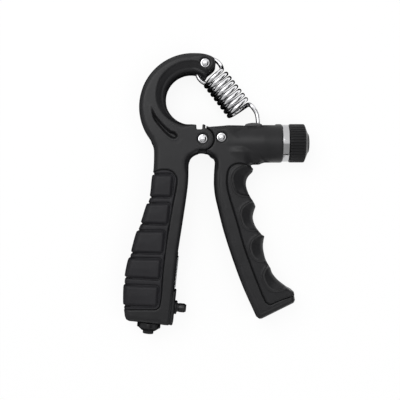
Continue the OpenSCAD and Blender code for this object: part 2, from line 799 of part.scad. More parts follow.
spring_path = concat(
    [for (i = [0 : 20]) let (a = 48 + i * 12)
        on_spring(loop_c + loop_r * cos(a), -loop_r * sin(a), 0)],
    [for (i = [1 : coils * 18 - 1]) let (a = 90 - i * 20)
        on_spring(coil_from + (coil_to - coil_from) * i / (coils * 18), coil_r * sin(a),
            coil_r * cos(a))],
    [for (p = smooth([[coil_to + 1.2, coil_r, 0], [coil_to + 3.6, 7.4, 0], [pull_l - 7.4, 7.1, 0],
        [pull_l - 4.2, 5.6, 0], [pull_l - 0.4, hook_wire_r, 0]], 4)) on_spring(p[0], p[1], p[2])],
    [for (i = [1 : 9]) let (a = 90 - i * 20)
        on_spring(pull_l + hook_wire_r * cos(a), hook_wire_r * sin(a), 0)]
);

module tension_spring() {
    color([0.86, 0.86, 0.88]) tube_along(spring_path, wire_r);
}

// ---- Placement: origin under the middle of the object, on the surface it lies on ----

low_x = min([for (p = left_points) p[0]]);
high_x = knob_end + 2.6;
low_y = from_counter(reset_u + reset_core_r, reset_top_v - reset_l)[1];
high_y = hook_out_c[1] + hook_ro;

module placed() {
    translate([-(low_x + high_x) / 2, -(low_y + high_y) / 2, rest_z]) children();
}

placed() left_handle();
placed() palm_grip();
placed() pivot_pin();
placed() pivot_washers();
placed() spring_pin();
placed() counter_frame();
placed() counter_bezel();
placed() counter_lens();
placed() counter_shaft();
placed() units_wheel();
placed() tens_wheel();
placed() hundreds_wheel();
placed() thousands_wheel();
placed() transfer_pinions();
placed() pinion_rod();
placed() plunger();
placed() plunger_bush();
placed() drive_pawl();
placed() plunger_spring();
placed() reset_knob();
placed() reset_gear();
placed() right_handle();
placed() finger_grip();
placed() screw_bearing();
placed() bearing_pin();
placed() end_ring();
placed() lead_screw();
placed() retaining_clip();
placed() thrust_washer();
placed() adjust_knob();
placed() knob_screw();
placed() knob_cap();
placed() slider();
placed() slider_pin();
placed() tension_spring();
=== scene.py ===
import json
import math

import bpy
import numpy as np
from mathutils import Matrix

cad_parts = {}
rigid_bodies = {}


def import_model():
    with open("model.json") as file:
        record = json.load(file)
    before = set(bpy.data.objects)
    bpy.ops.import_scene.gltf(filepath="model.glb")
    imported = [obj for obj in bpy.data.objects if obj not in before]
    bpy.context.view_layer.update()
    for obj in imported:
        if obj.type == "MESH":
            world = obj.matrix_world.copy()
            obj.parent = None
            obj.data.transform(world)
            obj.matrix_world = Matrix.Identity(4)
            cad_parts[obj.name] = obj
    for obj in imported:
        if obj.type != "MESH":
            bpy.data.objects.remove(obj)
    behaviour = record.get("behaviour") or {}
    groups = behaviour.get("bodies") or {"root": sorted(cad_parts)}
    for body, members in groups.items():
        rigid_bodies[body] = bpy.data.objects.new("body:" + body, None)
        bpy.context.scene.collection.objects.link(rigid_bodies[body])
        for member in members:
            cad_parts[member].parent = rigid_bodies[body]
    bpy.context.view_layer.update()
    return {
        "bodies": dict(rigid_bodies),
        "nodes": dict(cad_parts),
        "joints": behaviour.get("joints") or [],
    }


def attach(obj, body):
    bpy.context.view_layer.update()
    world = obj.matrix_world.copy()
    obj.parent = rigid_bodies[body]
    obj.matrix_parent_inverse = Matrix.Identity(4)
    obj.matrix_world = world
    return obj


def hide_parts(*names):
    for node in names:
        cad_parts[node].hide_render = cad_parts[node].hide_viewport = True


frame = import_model()

# Everything is worked out in millimetres about the handles' pivot: x to the knob, y to the hook,
# z = 0 in the middle of the thickness. place() turns that into the frame's metres.

JOINTS = {joint["name"]: joint for joint in frame["joints"]}
MM = 1000.0
PIVOT = np.array(JOINTS["squeeze"]["pos_m"]) * MM
PIVOT_PIN = np.zeros(3)
STEP = 0.4    # grid step of the modelled shells
SIDES = 1       # divides the number of facets of the turned pieces


def place(points):
    return (np.asarray(points, float) + PIVOT) / MM


def spot(joint):
    """A joint's own point, about the pivot."""
    return np.array(JOINTS[joint]["pos_m"]) * MM - PIVOT


# ---- Sizes that the modelled pieces share with the frame ----

HALF = 10.0                 # half the thickness of the moulded handles
CORE_HALF = 8.6             # half the thickness of the core under the rubber
RUBBER_EDGE = 2.0           # rubber over the handles' edges
RUBBER_OVER_CORE = 1.4      # the least rubber over the core, below the finger scoops
PAD_TOP = 11.5              # the raised palm pads' height above the middle
PIN_R = 1.6                 # radius of the three riveted pins and of the slider's
PIN_RECESS_R, PIN_RECESS_DEPTH = 3.3, 1.2
PIN_CLEAR_R = 3.6           # nothing but a pin's hole and recess lies within this of the pin
SPRING_PIN = spot("spring_swing")
BEARING_PIN = np.array([11.0, 0.9, 0.0])
SLIDER_PIN = np.array([31.2, 6.0, 0.0])
BARREL_Y = spot("knob_turn")[1]
BARREL_R, BARREL_END = 11.5, 47.2
BORE_R, BORE_FROM = 8.0, 8.5    # the barrel's bore, and where its closed end is
KNUCKLE_ROOM = 6.9          # radius of the right handle's recess around the knuckle
SLOT_X, SLOT_HALF = (18.4, 43.4), 4.0   # the slot that the slider's tab runs in
HOOK_HOLE, HOOK_HOLE_R = np.array([-6.9, 24.0]), 15.2

COUNTER_U = -np.array(JOINTS["plunger_press"]["axis"])      # out of the left handle's inner face
COUNTER_V = np.array(JOINTS["units_turn"]["axis"])          # up the left handle, along the wheels
WHEEL_U, RESET_U = -9.0, -14.2
COUNTER_AT = spot("units_turn") - COUNTER_U * WHEEL_U
COUNTER_AT[2] = 0.0


def counter(u, v, z=0.0):
    """A point given in the counter's own axes."""
    return COUNTER_AT + np.multiply.outer(u, COUNTER_U) + np.multiply.outer(v, COUNTER_V) \
        + np.multiply.outer(z, np.array([0.0, 0.0, 1.0]))


# ---- Meshes ----

def new_object(name, data):
    piece = bpy.data.objects.new(name, data)
    bpy.context.scene.collection.objects.link(piece)
    return piece


def make_mesh(name, points, faces, smooth=True):
    """An object from points in millimetres about the pivot and a list or array of faces."""
    mesh = bpy.data.meshes.new(name)
    points = place(points)
    sizes = np.array([len(face) for face in faces])
    corners = np.concatenate([np.asarray(face) for face in faces])
    mesh.vertices.add(len(points))
    mesh.vertices.foreach_set("co", points.ravel())
    mesh.loops.add(len(corners))
    mesh.loops.foreach_set("vertex_index", corners)
    mesh.polygons.add(len(sizes))
    mesh.polygons.foreach_set("loop_start", np.concatenate([[0], np.cumsum(sizes)[:-1]]))
    mesh.polygons.foreach_set("use_smooth", np.full(len(sizes), smooth))
    mesh.update(calc_edges=True)
    mesh.validate()
    return new_object(name, mesh)


def finish_piece(piece, body, material, *nodes, slot=None):
    """Rides and paints one piece, and hides the CAD nodes that it stands for. The slot argument is
    not used."""
    slot = slot or plain_name(material)
    piece.data.materials.append(material)
    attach(piece, body)
    if nodes:
        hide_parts(*nodes)
    return piece


def surface(field, low, high, step):
    """Surface net of field(x, y, z) < 0 in a box: one point in each cell that the surface crosses,
    moved onto the surface, and a four-sided face around each crossed edge."""
    axes = [np.arange(a, b + step, step) for a, b in zip(low, high)]
    values = np.asarray(field(axes[0][:, None, None], axes[1][None, :, None],
                              axes[2][None, None, :]), np.float32)
    inside = values < 0
    count = np.zeros([n - 1 for n in values.shape], np.int8)
    for corner in np.ndindex(2, 2, 2):
        count += inside[tuple(slice(c, c - 1 or None) for c in corner)]
    cells = np.argwhere((count > 0) & (count < 8))
    number = np.full(count.shape, -1, np.int64)
    number[tuple(cells.T)] = np.arange(len(cells))
    total, hits = np.zeros((len(cells), 3)), np.zeros(len(cells))
    for axis in range(3):
        for side in np.ndindex(2, 2):
            offset = np.insert(np.array(side), axis, 0)
            start = cells + offset
            end = start.copy()
            end[:, axis] += 1
            a, b = values[tuple(start.T)], values[tuple(end.T)]
            crossed = (a < 0) != (b < 0)
            part = np.where(crossed, a / np.where(crossed, a - b, 1), 0)
            point = np.broadcast_to(offset, cells.shape).astype(float)
            point[:, axis] = part
            total += point * crossed[:, None]
            hits += crossed
    points = cells + total / hits[:, None]
    slopes = np.gradient(values)
    for _ in range(2):
        value, slope = sample(values, points), np.stack([sample(s, points) for s in slopes], 1)
        move = slope * (value / np.maximum((slope ** 2).sum(1), 1e-6))[:, None]
        points = np.clip(points - np.clip(move, -0.3, 0.3), cells - 0.2, cells + 1.2)
    quads = []
    for axis in range(3):
        a = np.take(inside, range(values.shape[axis] - 1), axis)
        b = np.take(inside, range(1, values.shape[axis]), axis)
        for outward, crossed in ((True, a & ~b), (False, ~a & b)):
            edge = np.argwhere(crossed)
            other = [k for k in range(3) if k != axis]
            if axis == 1:
                other.reverse()
            ring = []
            for step_a, step_b in ((0, 0), (-1, 0), (-1, -1), (0, -1)):
                cell = edge.copy()
                cell[:, other[0]] += step_a
                cell[:, other[1]] += step_b
                ring.append(number[tuple(cell.T)])
            ring = np.stack(ring if outward else ring[::-1], 1)
            quads.append(ring[(ring >= 0).all(1)])
    return points * step + np.array([axis[0] for axis in axes]), np.concatenate(quads)


def sample(grid, points):
    """Linear interpolation of a 2-D or 3-D grid at fractional indices."""
    shape = np.array(grid.shape)
    base = np.clip(np.floor(points).astype(int), 0, shape - 2)
    part = np.clip(points - base, 0, 1)
    value = 0.0
    for corner in np.ndindex(*(2,) * grid.ndim):
        weight = np.prod(np.where(np.array(corner) == 1, part, 1 - part), axis=1)
        value = value + weight * grid[tuple((base + corner).T)]
    return value


def ring_faces(count, sides, closed=False):
    """Faces between rings of points, with a flat end at each side unless the last ring meets the
    first."""
    faces = []
    for i in range(count if closed else count - 1):
        for k in range(sides):
            a, b, n = i * sides, ((i + 1) % count) * sides, (k + 1) % sides
            faces.append((a + k, a + n, b + n, b + k))
    if not closed:
        faces.append(tuple(range(sides))[::-1])
        faces.append(tuple((count - 1) * sides + k for k in range(sides)))
    return faces


def turned(name, outline, centre, axis, sides=96, radius_at=None, closed=False):
    """A turned piece: outline is a list of (distance along the axis, radius). radius_at(a, r, angle)
    may change a radius around the piece. closed joins the outline's ends, for a ring."""
    sides = max(24, sides // SIDES) if radius_at is None else sides
    axis = np.asarray(axis, float)
    across = np.cross(axis, [0, 0, 1.0]) if abs(axis[2]) < 0.9 else np.array([1.0, 0, 0])
    across /= np.linalg.norm(across)
    third = np.cross(axis, across)
    angle = np.arange(sides) * 2 * math.pi / sides
    points = []
    for along, radius in outline:
        r = np.full(sides, float(radius)) if radius_at is None else radius_at(along, radius, angle)
        points.append(np.asarray(centre) + along * axis
                      + np.outer(r * np.cos(angle), across) + np.outer(r * np.sin(angle), third))
    return make_mesh(name, np.concatenate(points), ring_faces(len(outline), sides, closed))


def rounded_outline(corners, radius):
    """A turned outline whose inner corners are rounded."""
    corners = np.array(corners, float)
    points = [corners[0]]
    for a, b, c in zip(corners, corners[1:], corners[2:]):
        before, after = math.dist(a, b), math.dist(b, c)
        reach = min(radius, 0.45 * before, 0.45 * after)
        start, end = b + (a - b) / before * reach, b + (c - b) / after * reach
        points += [(1 - t) ** 2 * start + 2 * t * (1 - t) * b + t * t * end
                   for t in np.linspace(0, 1, 5)]
    return points + [corners[-1]]


# ---- Flat distance maps, taken from sections of the CAD nodes ----

def node_points(node):
    """A CAD node's mesh points, in millimetres about the pivot."""
    mesh = frame["nodes"][node].data
    points = np.empty(len(mesh.vertices) * 3)
    mesh.vertices.foreach_get("co", points)
    return points.reshape(-1, 3) * MM - PIVOT


def section(node, z):
    """The straight pieces, (n, 2, 2), in which the plane at height z cuts a node's surface."""
    mesh = frame["nodes"][node].data
    mesh.calc_loop_triangles()
    points = node_points(node)
    index = np.empty(len(mesh.loop_triangles) * 3, int)
    mesh.loop_triangles.foreach_get("vertices", index)
    triangles = points[index.reshape(-1, 3)]
    above = triangles[:, :, 2] > z
    triangles = triangles[(above.sum(1) % 3) > 0]
    above = triangles[:, :, 2] > z
    lone = np.argmax(above == (above.sum(1) == 1)[:, None], 1)
    rows = np.arange(len(triangles))
    top = triangles[rows, lone]
    ends = []
    for turn in (1, 2):
        low = triangles[rows, (lone + turn) % 3]
        part = (z - top[:, 2]) / (low[:, 2] - top[:, 2])
        ends.append((top + part[:, None] * (low - top))[:, :2])
    return np.stack(ends, 1)


def section_without(node, z, *pins):
    """A node's section without the lines about its pin holes."""
    lines = section(node, z)
    for pin in pins:
        lines = lines[np.linalg.norm(lines - pin[:2], axis=2).min(1) > PIN_CLEAR_R]
    return lines


def split_shared(lines, others, reach=0.03):
    """The lines that lie on none of the others, and those that do."""
    shared = gap_to(others, lines.mean(1)) < reach
    return lines[~shared], lines[shared]


def gap_to(lines, points):
    """Distance from each point to the nearest line, a few points at a time to save memory."""
    start, span = lines[:, 0], lines[:, 1] - lines[:, 0]
    length = np.maximum((span ** 2).sum(1), 1e-12)
    found = np.empty(len(points))
    for i in range(0, len(points), 4000):
        offset = points[i:i + 4000, None] - start
        along = np.clip((offset * span).sum(2) / length, 0, 1)
        found[i:i + 4000] = np.sqrt(((offset - along[..., None] * span) ** 2).sum(2).min(1))
    return found


def inside_of(lines, points):
    """Whether each point is inside the closed loops that the lines form."""
    x0, y0, x1, y1 = lines[:, 0, 0], lines[:, 0, 1], lines[:, 1, 0], lines[:, 1, 1]
    found = np.empty(len(points), bool)
    for i in range(0, len(points), 4000):
        x, y = points[i:i + 4000, 0, None], points[i:i + 4000, 1, None]
        spans = (y0 > y) != (y1 > y)
        at = x0 + (y - y0) * (x1 - x0) / np.where(y1 == y0, 1, y1 - y0)
        found[i:i + 4000] = (spans & (x < at)).sum(1) % 2 == 1
    return found


class Plan:
    """A flat grid over one handle, with its distance maps."""

    def __init__(self, low, high):
        self.low, self.high = low, high
        self.x, self.y = np.meshgrid(np.arange(low[0], high[0] + STEP, STEP),
                                     np.arange(low[1], high[1] + STEP, STEP), indexing="ij")
        self.points = np.stack([self.x.ravel(), self.y.ravel()], 1)
        self.shape = self.x.shape

    def gap(self, lines):
        return gap_to(lines, self.points).reshape(self.shape)

    def inside(self, lines):
        return inside_of(lines, self.points).reshape(self.shape)

    def signed(self, lines):
        """Distance to the lines, negative inside the loops that they form."""
        return np.where(self.inside(lines), -1, 1) * self.gap(lines)

    def polygon(self, corners):
        corners = np.array(corners)
        return self.signed(np.stack([corners, np.roll(corners, -1, 0)], 1))

    def from_point(self, centre):
        return np.hypot(self.x - centre[0], self.y - centre[1])

    def along(self, centre, axis):
        """How far each point is from the centre, measured along an axis."""
        return ((self.points - centre[:2]) @ axis[:2]).reshape(self.shape)

    def two_parts(self, handle, rubber):
        """The signed distance to the outline of a handle and its rubber together, the one to the
        seam between them, negative on the rubber's side, and the seam's plain distance."""
        handle_edge, seam = split_shared(handle, rubber)
        rubber_edge, _ = split_shared(rubber, handle)
        in_rubber = self.inside(rubber)
        inside = self.inside(handle) | in_rubber
        edge_gap, rubber_gap = self.gap(handle_edge), self.gap(rubber_edge)
        outline = np.where(inside, -1, 1) * np.minimum(edge_gap, rubber_gap)
        seam_gap = self.gap(seam)
        # Beyond the outline, a point counts as rubber where the outline beside it is rubber
        on_rubber = np.where(inside, in_rubber, rubber_gap < edge_gap)
        return outline, np.where(on_rubber, -seam_gap, seam_gap), seam_gap

    def drawn_in(self, values, outline, reach):
        """The values read a little inside the outline, so that what is drawn on the face
        runs on down the edge."""
        slope = np.stack(np.gradient(outline, STEP), 2).reshape(-1, 2)
        move = np.maximum(outline.ravel() + reach, 0)[:, None] * slope
        at = (self.points - move - self.low) / STEP
        return sample(values, at).reshape(self.shape)

    def mesh(self, name, field):
        """The surface of field(z), whose flat maps are on this grid."""
        top = PAD_TOP + 0.9
        points, quads = surface(lambda x, y, z: field(z), (*self.low, -top),
                                (*self.high, top), STEP)
        return make_mesh(name, points, quads)


def ease(value, low, high):
    """0 below low, 1 above high, smooth between."""
    t = np.clip((value - low) / (high - low), 0, 1)
    return t * t * (3 - 2 * t)


def bump(value, centre, width):
    return np.exp(-((value - centre) / width) ** 2)


def slab(outline, z, half, radius):
    """A plate of the outline with rounded edges. half and radius may vary over the plan."""
    outline, half, radius = (np.asarray(v)[..., None] for v in (outline, half, radius))
    a, b = outline + radius, np.abs(z) - half + radius
    return np.minimum(np.maximum(a, b), 0) + np.hypot(np.maximum(a, 0), np.maximum(b, 0)) - radius


def join(a, b, blend):
    """Union of two fields with a soft inner corner."""
    mix = np.maximum(blend - np.abs(a - b), 0) / blend
    return np.minimum(a, b) - mix * mix * blend / 4


def cut(a, b, blend=0.3):
    """a without b, with a softened rim."""
    mix = np.maximum(blend - np.abs(a + b), 0) / blend
    return np.maximum(a, -b) + mix * mix * blend / 4


def curve(points, n=8):
    """A smooth open curve through the points."""
    p = np.array(points, float)
    found = []
    for i in range(len(p) - 1):
        a, b, c, d = p[max(i - 1, 0)], p[i], p[i + 1], p[min(i + 2, len(p) - 1)]
        for t in np.arange(n) / n:
            found.append((2 * b + (c - a) * t + (2 * a - 5 * b + 4 * c - d) * t ** 2
                          + (3 * b - a - 3 * c + d) * t ** 3) / 2)
    return found + [p[-1]]


# ---- Materials ----

def node_material(name, **values):
    """A new material, its tree and its shader, whose values are named with _ for each space."""
    material = bpy.data.materials.new(name)
    material.use_nodes = True
    tree = material.node_tree
    shader = tree.nodes["Principled BSDF"]
    for key, value in values.items():
        shader.inputs[key.replace("_", " ")].default_value = value
    return material, tree, shader


def add(tree, kind, **values):
    """A shader node of a kind. A value is an input's, or else one of the node's own settings."""
    node = tree.nodes.new("ShaderNode" + kind)
    for key, value in values.items():
        if key in node.inputs:
            node.inputs[key].default_value = value
        else:
            setattr(node, key, value)
    return node


def noise(tree, scale, detail=3.0, roughness=0.55):
    coords = add(tree, "TexCoord")
    node = add(tree, "TexNoise", Scale=scale, Detail=detail, Roughness=roughness)
    tree.links.new(coords.outputs["Object"], node.inputs["Vector"])
    return node


def ramp(tree, source, low, high, low_value, high_value):
    node = add(tree, "MapRange")
    for name, value in zip(("From Min", "From Max", "To Min", "To Max"),
                           (low, high, low_value, high_value)):
        node.inputs[name].default_value = value
    tree.links.new(source, node.inputs["Value"])
    return node.outputs["Result"]


def spread(tree, texture, low_value, high_value):
    """A noise's usual range, spread over two values."""
    return ramp(tree, texture.outputs["Fac"], 0.3, 0.7, low_value, high_value)


def blend_colours(tree, factor, first, second):
    """A mix of two colours, of which either may be another node's output."""
    node = add(tree, "Mix", data_type="RGBA")
    for name, colour in (("A", first), ("B", second)):
        if isinstance(colour, tuple):
            node.inputs[name].default_value = (*colour, 1)
        else:
            tree.links.new(colour, node.inputs[name])
    tree.links.new(factor, node.inputs["Factor"])
    return node.outputs["Result"]


def add_relief(tree, shader, texture, strength, distance):
    node = add(tree, "Bump", Strength=strength, Distance=distance)
    tree.links.new(texture.outputs["Fac"], node.inputs["Height"])
    tree.links.new(node.outputs["Normal"], shader.inputs["Normal"])


def moulded(name, colour, rough, grain=2600.0, relief=0.05, wear_and_highlight=0.25, specular=0.5):
    """Moulded plastic or rubber: a fine grain, broad tone changes, and sharp edges made lighter,
    partly as wear and partly as a painted highlight.
    """
    material, tree, shader = node_material(name, Specular_IOR_Level=specular)
    broad = noise(tree, 90.0, 4.0)
    fine = noise(tree, grain)
    dark = tuple(c * 0.86 for c in colour)
    light = tuple(c * 1.12 for c in colour)
    tone = blend_colours(tree, spread(tree, broad, 0.0, 1.0), dark, light)
    # Sharp convex edges turn lighter by Pointiness: partly edge wear, partly a painted highlight
    geometry = add(tree, "NewGeometry")
    edge = ramp(tree, geometry.outputs["Pointiness"], 0.52, 0.6, 0.0, wear_and_highlight)
    worn_and_highlit = tuple(min(1, c * 1.7 + 0.01) for c in colour)
    tree.links.new(blend_colours(tree, edge, tone, worn_and_highlit), shader.inputs["Base Color"])
    tree.links.new(spread(tree, fine, rough - 0.06, rough + 0.06), shader.inputs["Roughness"])
    add_relief(tree, shader, fine, relief, 0.0002)
    return material


# Near black for the painted shade in the narrow gaps of metal, where ambient occlusion finds little
# open space
PAINTED_GAP_SHADE = (0.012, 0.012, 0.013)


def metal(name, colour, rough, scratch=0.03, grain=900.0, painted_shade_reach=None):
    """Plated or turned metal with faint scratches in its roughness. The last argument gives the
    width, in metres, of the narrow gaps in which ambient occlusion paints shade: the base colour
    darkens there towards near black."""
    material, tree, shader = node_material(name, Metallic=1.0)
    coords = add(tree, "TexCoord")
    stretch = add(tree, "Mapping")
    stretch.inputs["Scale"].default_value = (1.0, 0.12, 1.0)
    tree.links.new(coords.outputs["Object"], stretch.inputs["Vector"])
    fine = add(tree, "TexNoise", Scale=grain, Detail=4.0)
    tree.links.new(stretch.outputs["Vector"], fine.inputs["Vector"])
    tree.links.new(spread(tree, fine, max(0.01, rough - scratch), rough + scratch),
                   shader.inputs["Roughness"])
    shade = spread(tree, noise(tree, 160.0), 0.0, 1.0)
    tone = blend_colours(tree, shade, tuple(c * 0.94 for c in colour), colour)
    # Painted shade: ambient occlusion darkens the base colour in narrow gaps, such as between the
    # spring's coils
    if painted_shade_reach:
        open_sky = add(tree, "AmbientOcclusion", Distance=painted_shade_reach, samples=8)
        unshaded_share = ramp(tree, open_sky.outputs["AO"], 0.3, 0.85, 0.0, 1.0)
        tone = blend_colours(tree, unshaded_share, PAINTED_GAP_SHADE, tone)
    tree.links.new(tone, shader.inputs["Base Color"])
    add_relief(tree, shader, fine, 0.02, 0.0001)
    return material


def clear(name):
    """Clear polycarbonate."""
    material, tree, shader = node_material(name, Transmission_Weight=1.0, IOR=1.5)
    haze = noise(tree, 700.0)
    tree.links.new(spread(tree, haze, 0.02, 0.07), shader.inputs["Roughness"])
    tint = blend_colours(tree, haze.outputs["Fac"], (0.9, 0.93, 0.95), (0.97, 0.98, 0.99))
    tree.links.new(tint, shader.inputs["Base Color"])
    return material


HANDLE = moulded("handle_plastic", (0.021, 0.021, 0.0225), 0.37, specular=0.24)
PALM = moulded("palm_rubber", (0.018, 0.0175, 0.0205), 0.5, grain=1900.0, relief=0.08, wear_and_highlight=0.15,
               specular=0.24)
FINGER = moulded("finger_rubber", (0.017, 0.017, 0.0185), 0.44, grain=1900.0, relief=0.08, wear_and_highlight=0.15,
                 specular=0.24)
TRIM = moulded("trim_plastic", (0.010, 0.010, 0.011), 0.36, relief=0.03, specular=0.35)
KNOB = moulded("knob_plastic", (0.011, 0.011, 0.012), 0.36, relief=0.03, specular=0.2)
PLUNGER = moulded("plunger_plastic", (0.008, 0.008, 0.009), 0.24, relief=0.02)
CHROME = metal("chrome", (0.86, 0.86, 0.88), 0.1)
RING_CHROME = metal("ring_chrome", (0.52, 0.52, 0.53), 0.14, scratch=0.04)
# The spring's chrome has painted shade in the gaps between its coils
SPRING_CHROME = metal("spring_chrome", (0.88, 0.88, 0.9), 0.08, grain=1400.0, painted_shade_reach=0.0026)
STEEL = metal("steel", (0.55, 0.55, 0.57), 0.28, scratch=0.08)
NYLON = moulded("nylon", (0.62, 0.6, 0.55), 0.45, relief=0.04, wear_and_highlight=0.05)
GREY_NYLON = moulded("grey_nylon", (0.05, 0.05, 0.052), 0.42, relief=0.04)
NUMBER_WHITE = moulded("number_white", (0.78, 0.78, 0.75), 0.4, relief=0.02, wear_and_highlight=0.0)
NUMBER_BLACK = moulded("number_black", (0.02, 0.02, 0.02), 0.5, relief=0.02, wear_and_highlight=0.0)
LENS = clear("clear_lens")

def plain_name(material):
    """A material's name without the counter that Blender adds."""
    return material.name.split(".")[0]


def paint_nodes():
    """The CAD nodes that stay, each with the material of its slot."""
    own = {plain_name(material): material for material in (
        HANDLE, PALM, FINGER, TRIM, KNOB, PLUNGER, CHROME, SPRING_CHROME, STEEL, NYLON, GREY_NYLON,
        NUMBER_WHITE, LENS)}
    for node in frame["nodes"].values():
        for slot in node.material_slots:
            slot.material = own.get(plain_name(slot.material) if slot.material else "", STEEL)


# ---- The two handles ----

CUT_Z = 8.7                 # just above the core, where the rubber covers its whole region
SKIN_GAP = 0.05             # the rubber stands clear of the plastic by this

# The arch below the knuckle, and the tongue's part that shows under it
ARCH_AT, ARCH_R = (-0.7, -15.8), 7.75
APRON_R, APRON_HALF, APRON_FROM, APRON_TO = 8.9, 3.0, -112.0, -58.0
SQUEEZE_ROOM = 25.0         # degrees of the left handle's slot beyond the apron, for the squeeze


def knuckle_apron(plan, radius, start):
    """The right handle's tongue reaches down to the arch, between two directions in degrees."""
    sides = []
    for angle, turn in ((start, 1), (APRON_TO, -1)):
        a = math.radians(angle)
        sides.append(turn * (plan.x * math.sin(a) - plan.y * math.cos(a)))
    arch = ARCH_R - plan.from_point(ARCH_AT)
    return np.maximum.reduce([plan.from_point(PIVOT_PIN) - radius, arch, *sides])


def arch_bevel(plan):
    """The depth of the stepped bevel around the arch, on both handles."""
    from_arch = plan.from_point(ARCH_AT) - ARCH_R
    return 0.9 * (1 - ease(from_arch, 1.5, 2.2)) * ease(plan.y, -21, -14)


def recess(plan, pin, z):
    """The round recess about a pin's head, and the pin's hole."""
    ring = plan.from_point(pin)[..., None]
    well = np.maximum(ring - PIN_RECESS_R, HALF - PIN_RECESS_DEPTH - np.abs(z))
    return np.minimum(well, ring - PIN_R - 0.02)


# ---- Left handle ----

# The bevel about the hook's opening: its width by bearing from the opening's centre, in degrees,
# and its depth from the opening's rim to the bevel's outer edge
BEVEL_BEARINGS = [40, 62, 80, 150, 180, 205, 228, 250, 268, 290]
BEVEL_WIDTHS = [2.0, 4.6, 6.6, 6.2, 5.2, 4.0, 2.6, 1.5, 0.7, 0.3]
BEVEL_SHARES = [0, 0.12, 0.3, 0.45, 0.65, 1]
BEVEL_DEPTHS = [2.3, 1.75, 1.85, 2.1, 1.3, 0]

# The crescent-shaped recess below the hook
CRESCENT_DEPTH = 3.2
CRESCENT_OUTER = [[-30.2, 19], [-29.2, 12.2], [-24.8, 6], [-20, 1.2], [-16.6, -0.2],
                  [-14.6, 1.6], [-16.3, 4]]
CRESCENT_INNER = [[-18.8, 4.8], [-22.4, 7.9], [-26.7, 12.7], [-29.2, 17]]

# Half the heights of the left handle's hollows: the spring's slot, the tongue's, the counter's room
# and the reset knob's shaft
TIP_SLOT_HALF, KNUCKLE_SLOT_HALF, COUNTER_ROOM_HALF, RESET_SHAFT_HALF = 1.6, 3.65, 7.3, 1.8

# The palm rubber: half its thickness at the ribs between the pads, and its edge's radius
RIB_HALF, PALM_EDGE_R = 10.55, 4.0


def hook_bevel(plan):
    """The depth of the darker bevel about the hook's opening, with a crease where it starts."""
    ring = plan.from_point(HOOK_HOLE) - HOOK_HOLE_R
    bearing = np.degrees(np.arctan2(plan.y - HOOK_HOLE[1], plan.x - HOOK_HOLE[0])) % 360
    width = np.interp(bearing, BEVEL_BEARINGS, BEVEL_WIDTHS)
    step = 0.4 * (1 - ease(ring - width, -0.4, 0.2))
    profile = np.interp(np.clip(ring / width, 0, 1), BEVEL_SHARES, BEVEL_DEPTHS)
    fade = 1 - ease(bearing, 255, 275)
    return np.where((plan.y > 5.5) & (ring < 8), fade * (step + profile), 0)


def crescent_recess(plan):
    """The depth of the crescent, less the fine lip around it."""
    crescent = plan.polygon(curve(CRESCENT_OUTER) + curve(CRESCENT_INNER))
    return CRESCENT_DEPTH * (1 - ease(crescent, -1.3, 0.05)) - 0.12 * bump(crescent, 0.55, 0.4)


def left_hollows(plan):
    """The signed outline of the left handle's hollows, and half their height over the plan."""
    knuckle = (np.abs(plan.x) < 14) & (np.abs(plan.y) < 14)
    half = np.select([plan.y > 30, knuckle], [TIP_SLOT_HALF, KNUCKLE_SLOT_HALF], COUNTER_ROOM_HALF)
    shaft = (plan.y < -50) & (plan.along(COUNTER_AT, COUNTER_V) < -8.8)
    return plan.signed(section("left_handle", 0.02)), np.where(shaft, RESET_SHAFT_HALF, half)


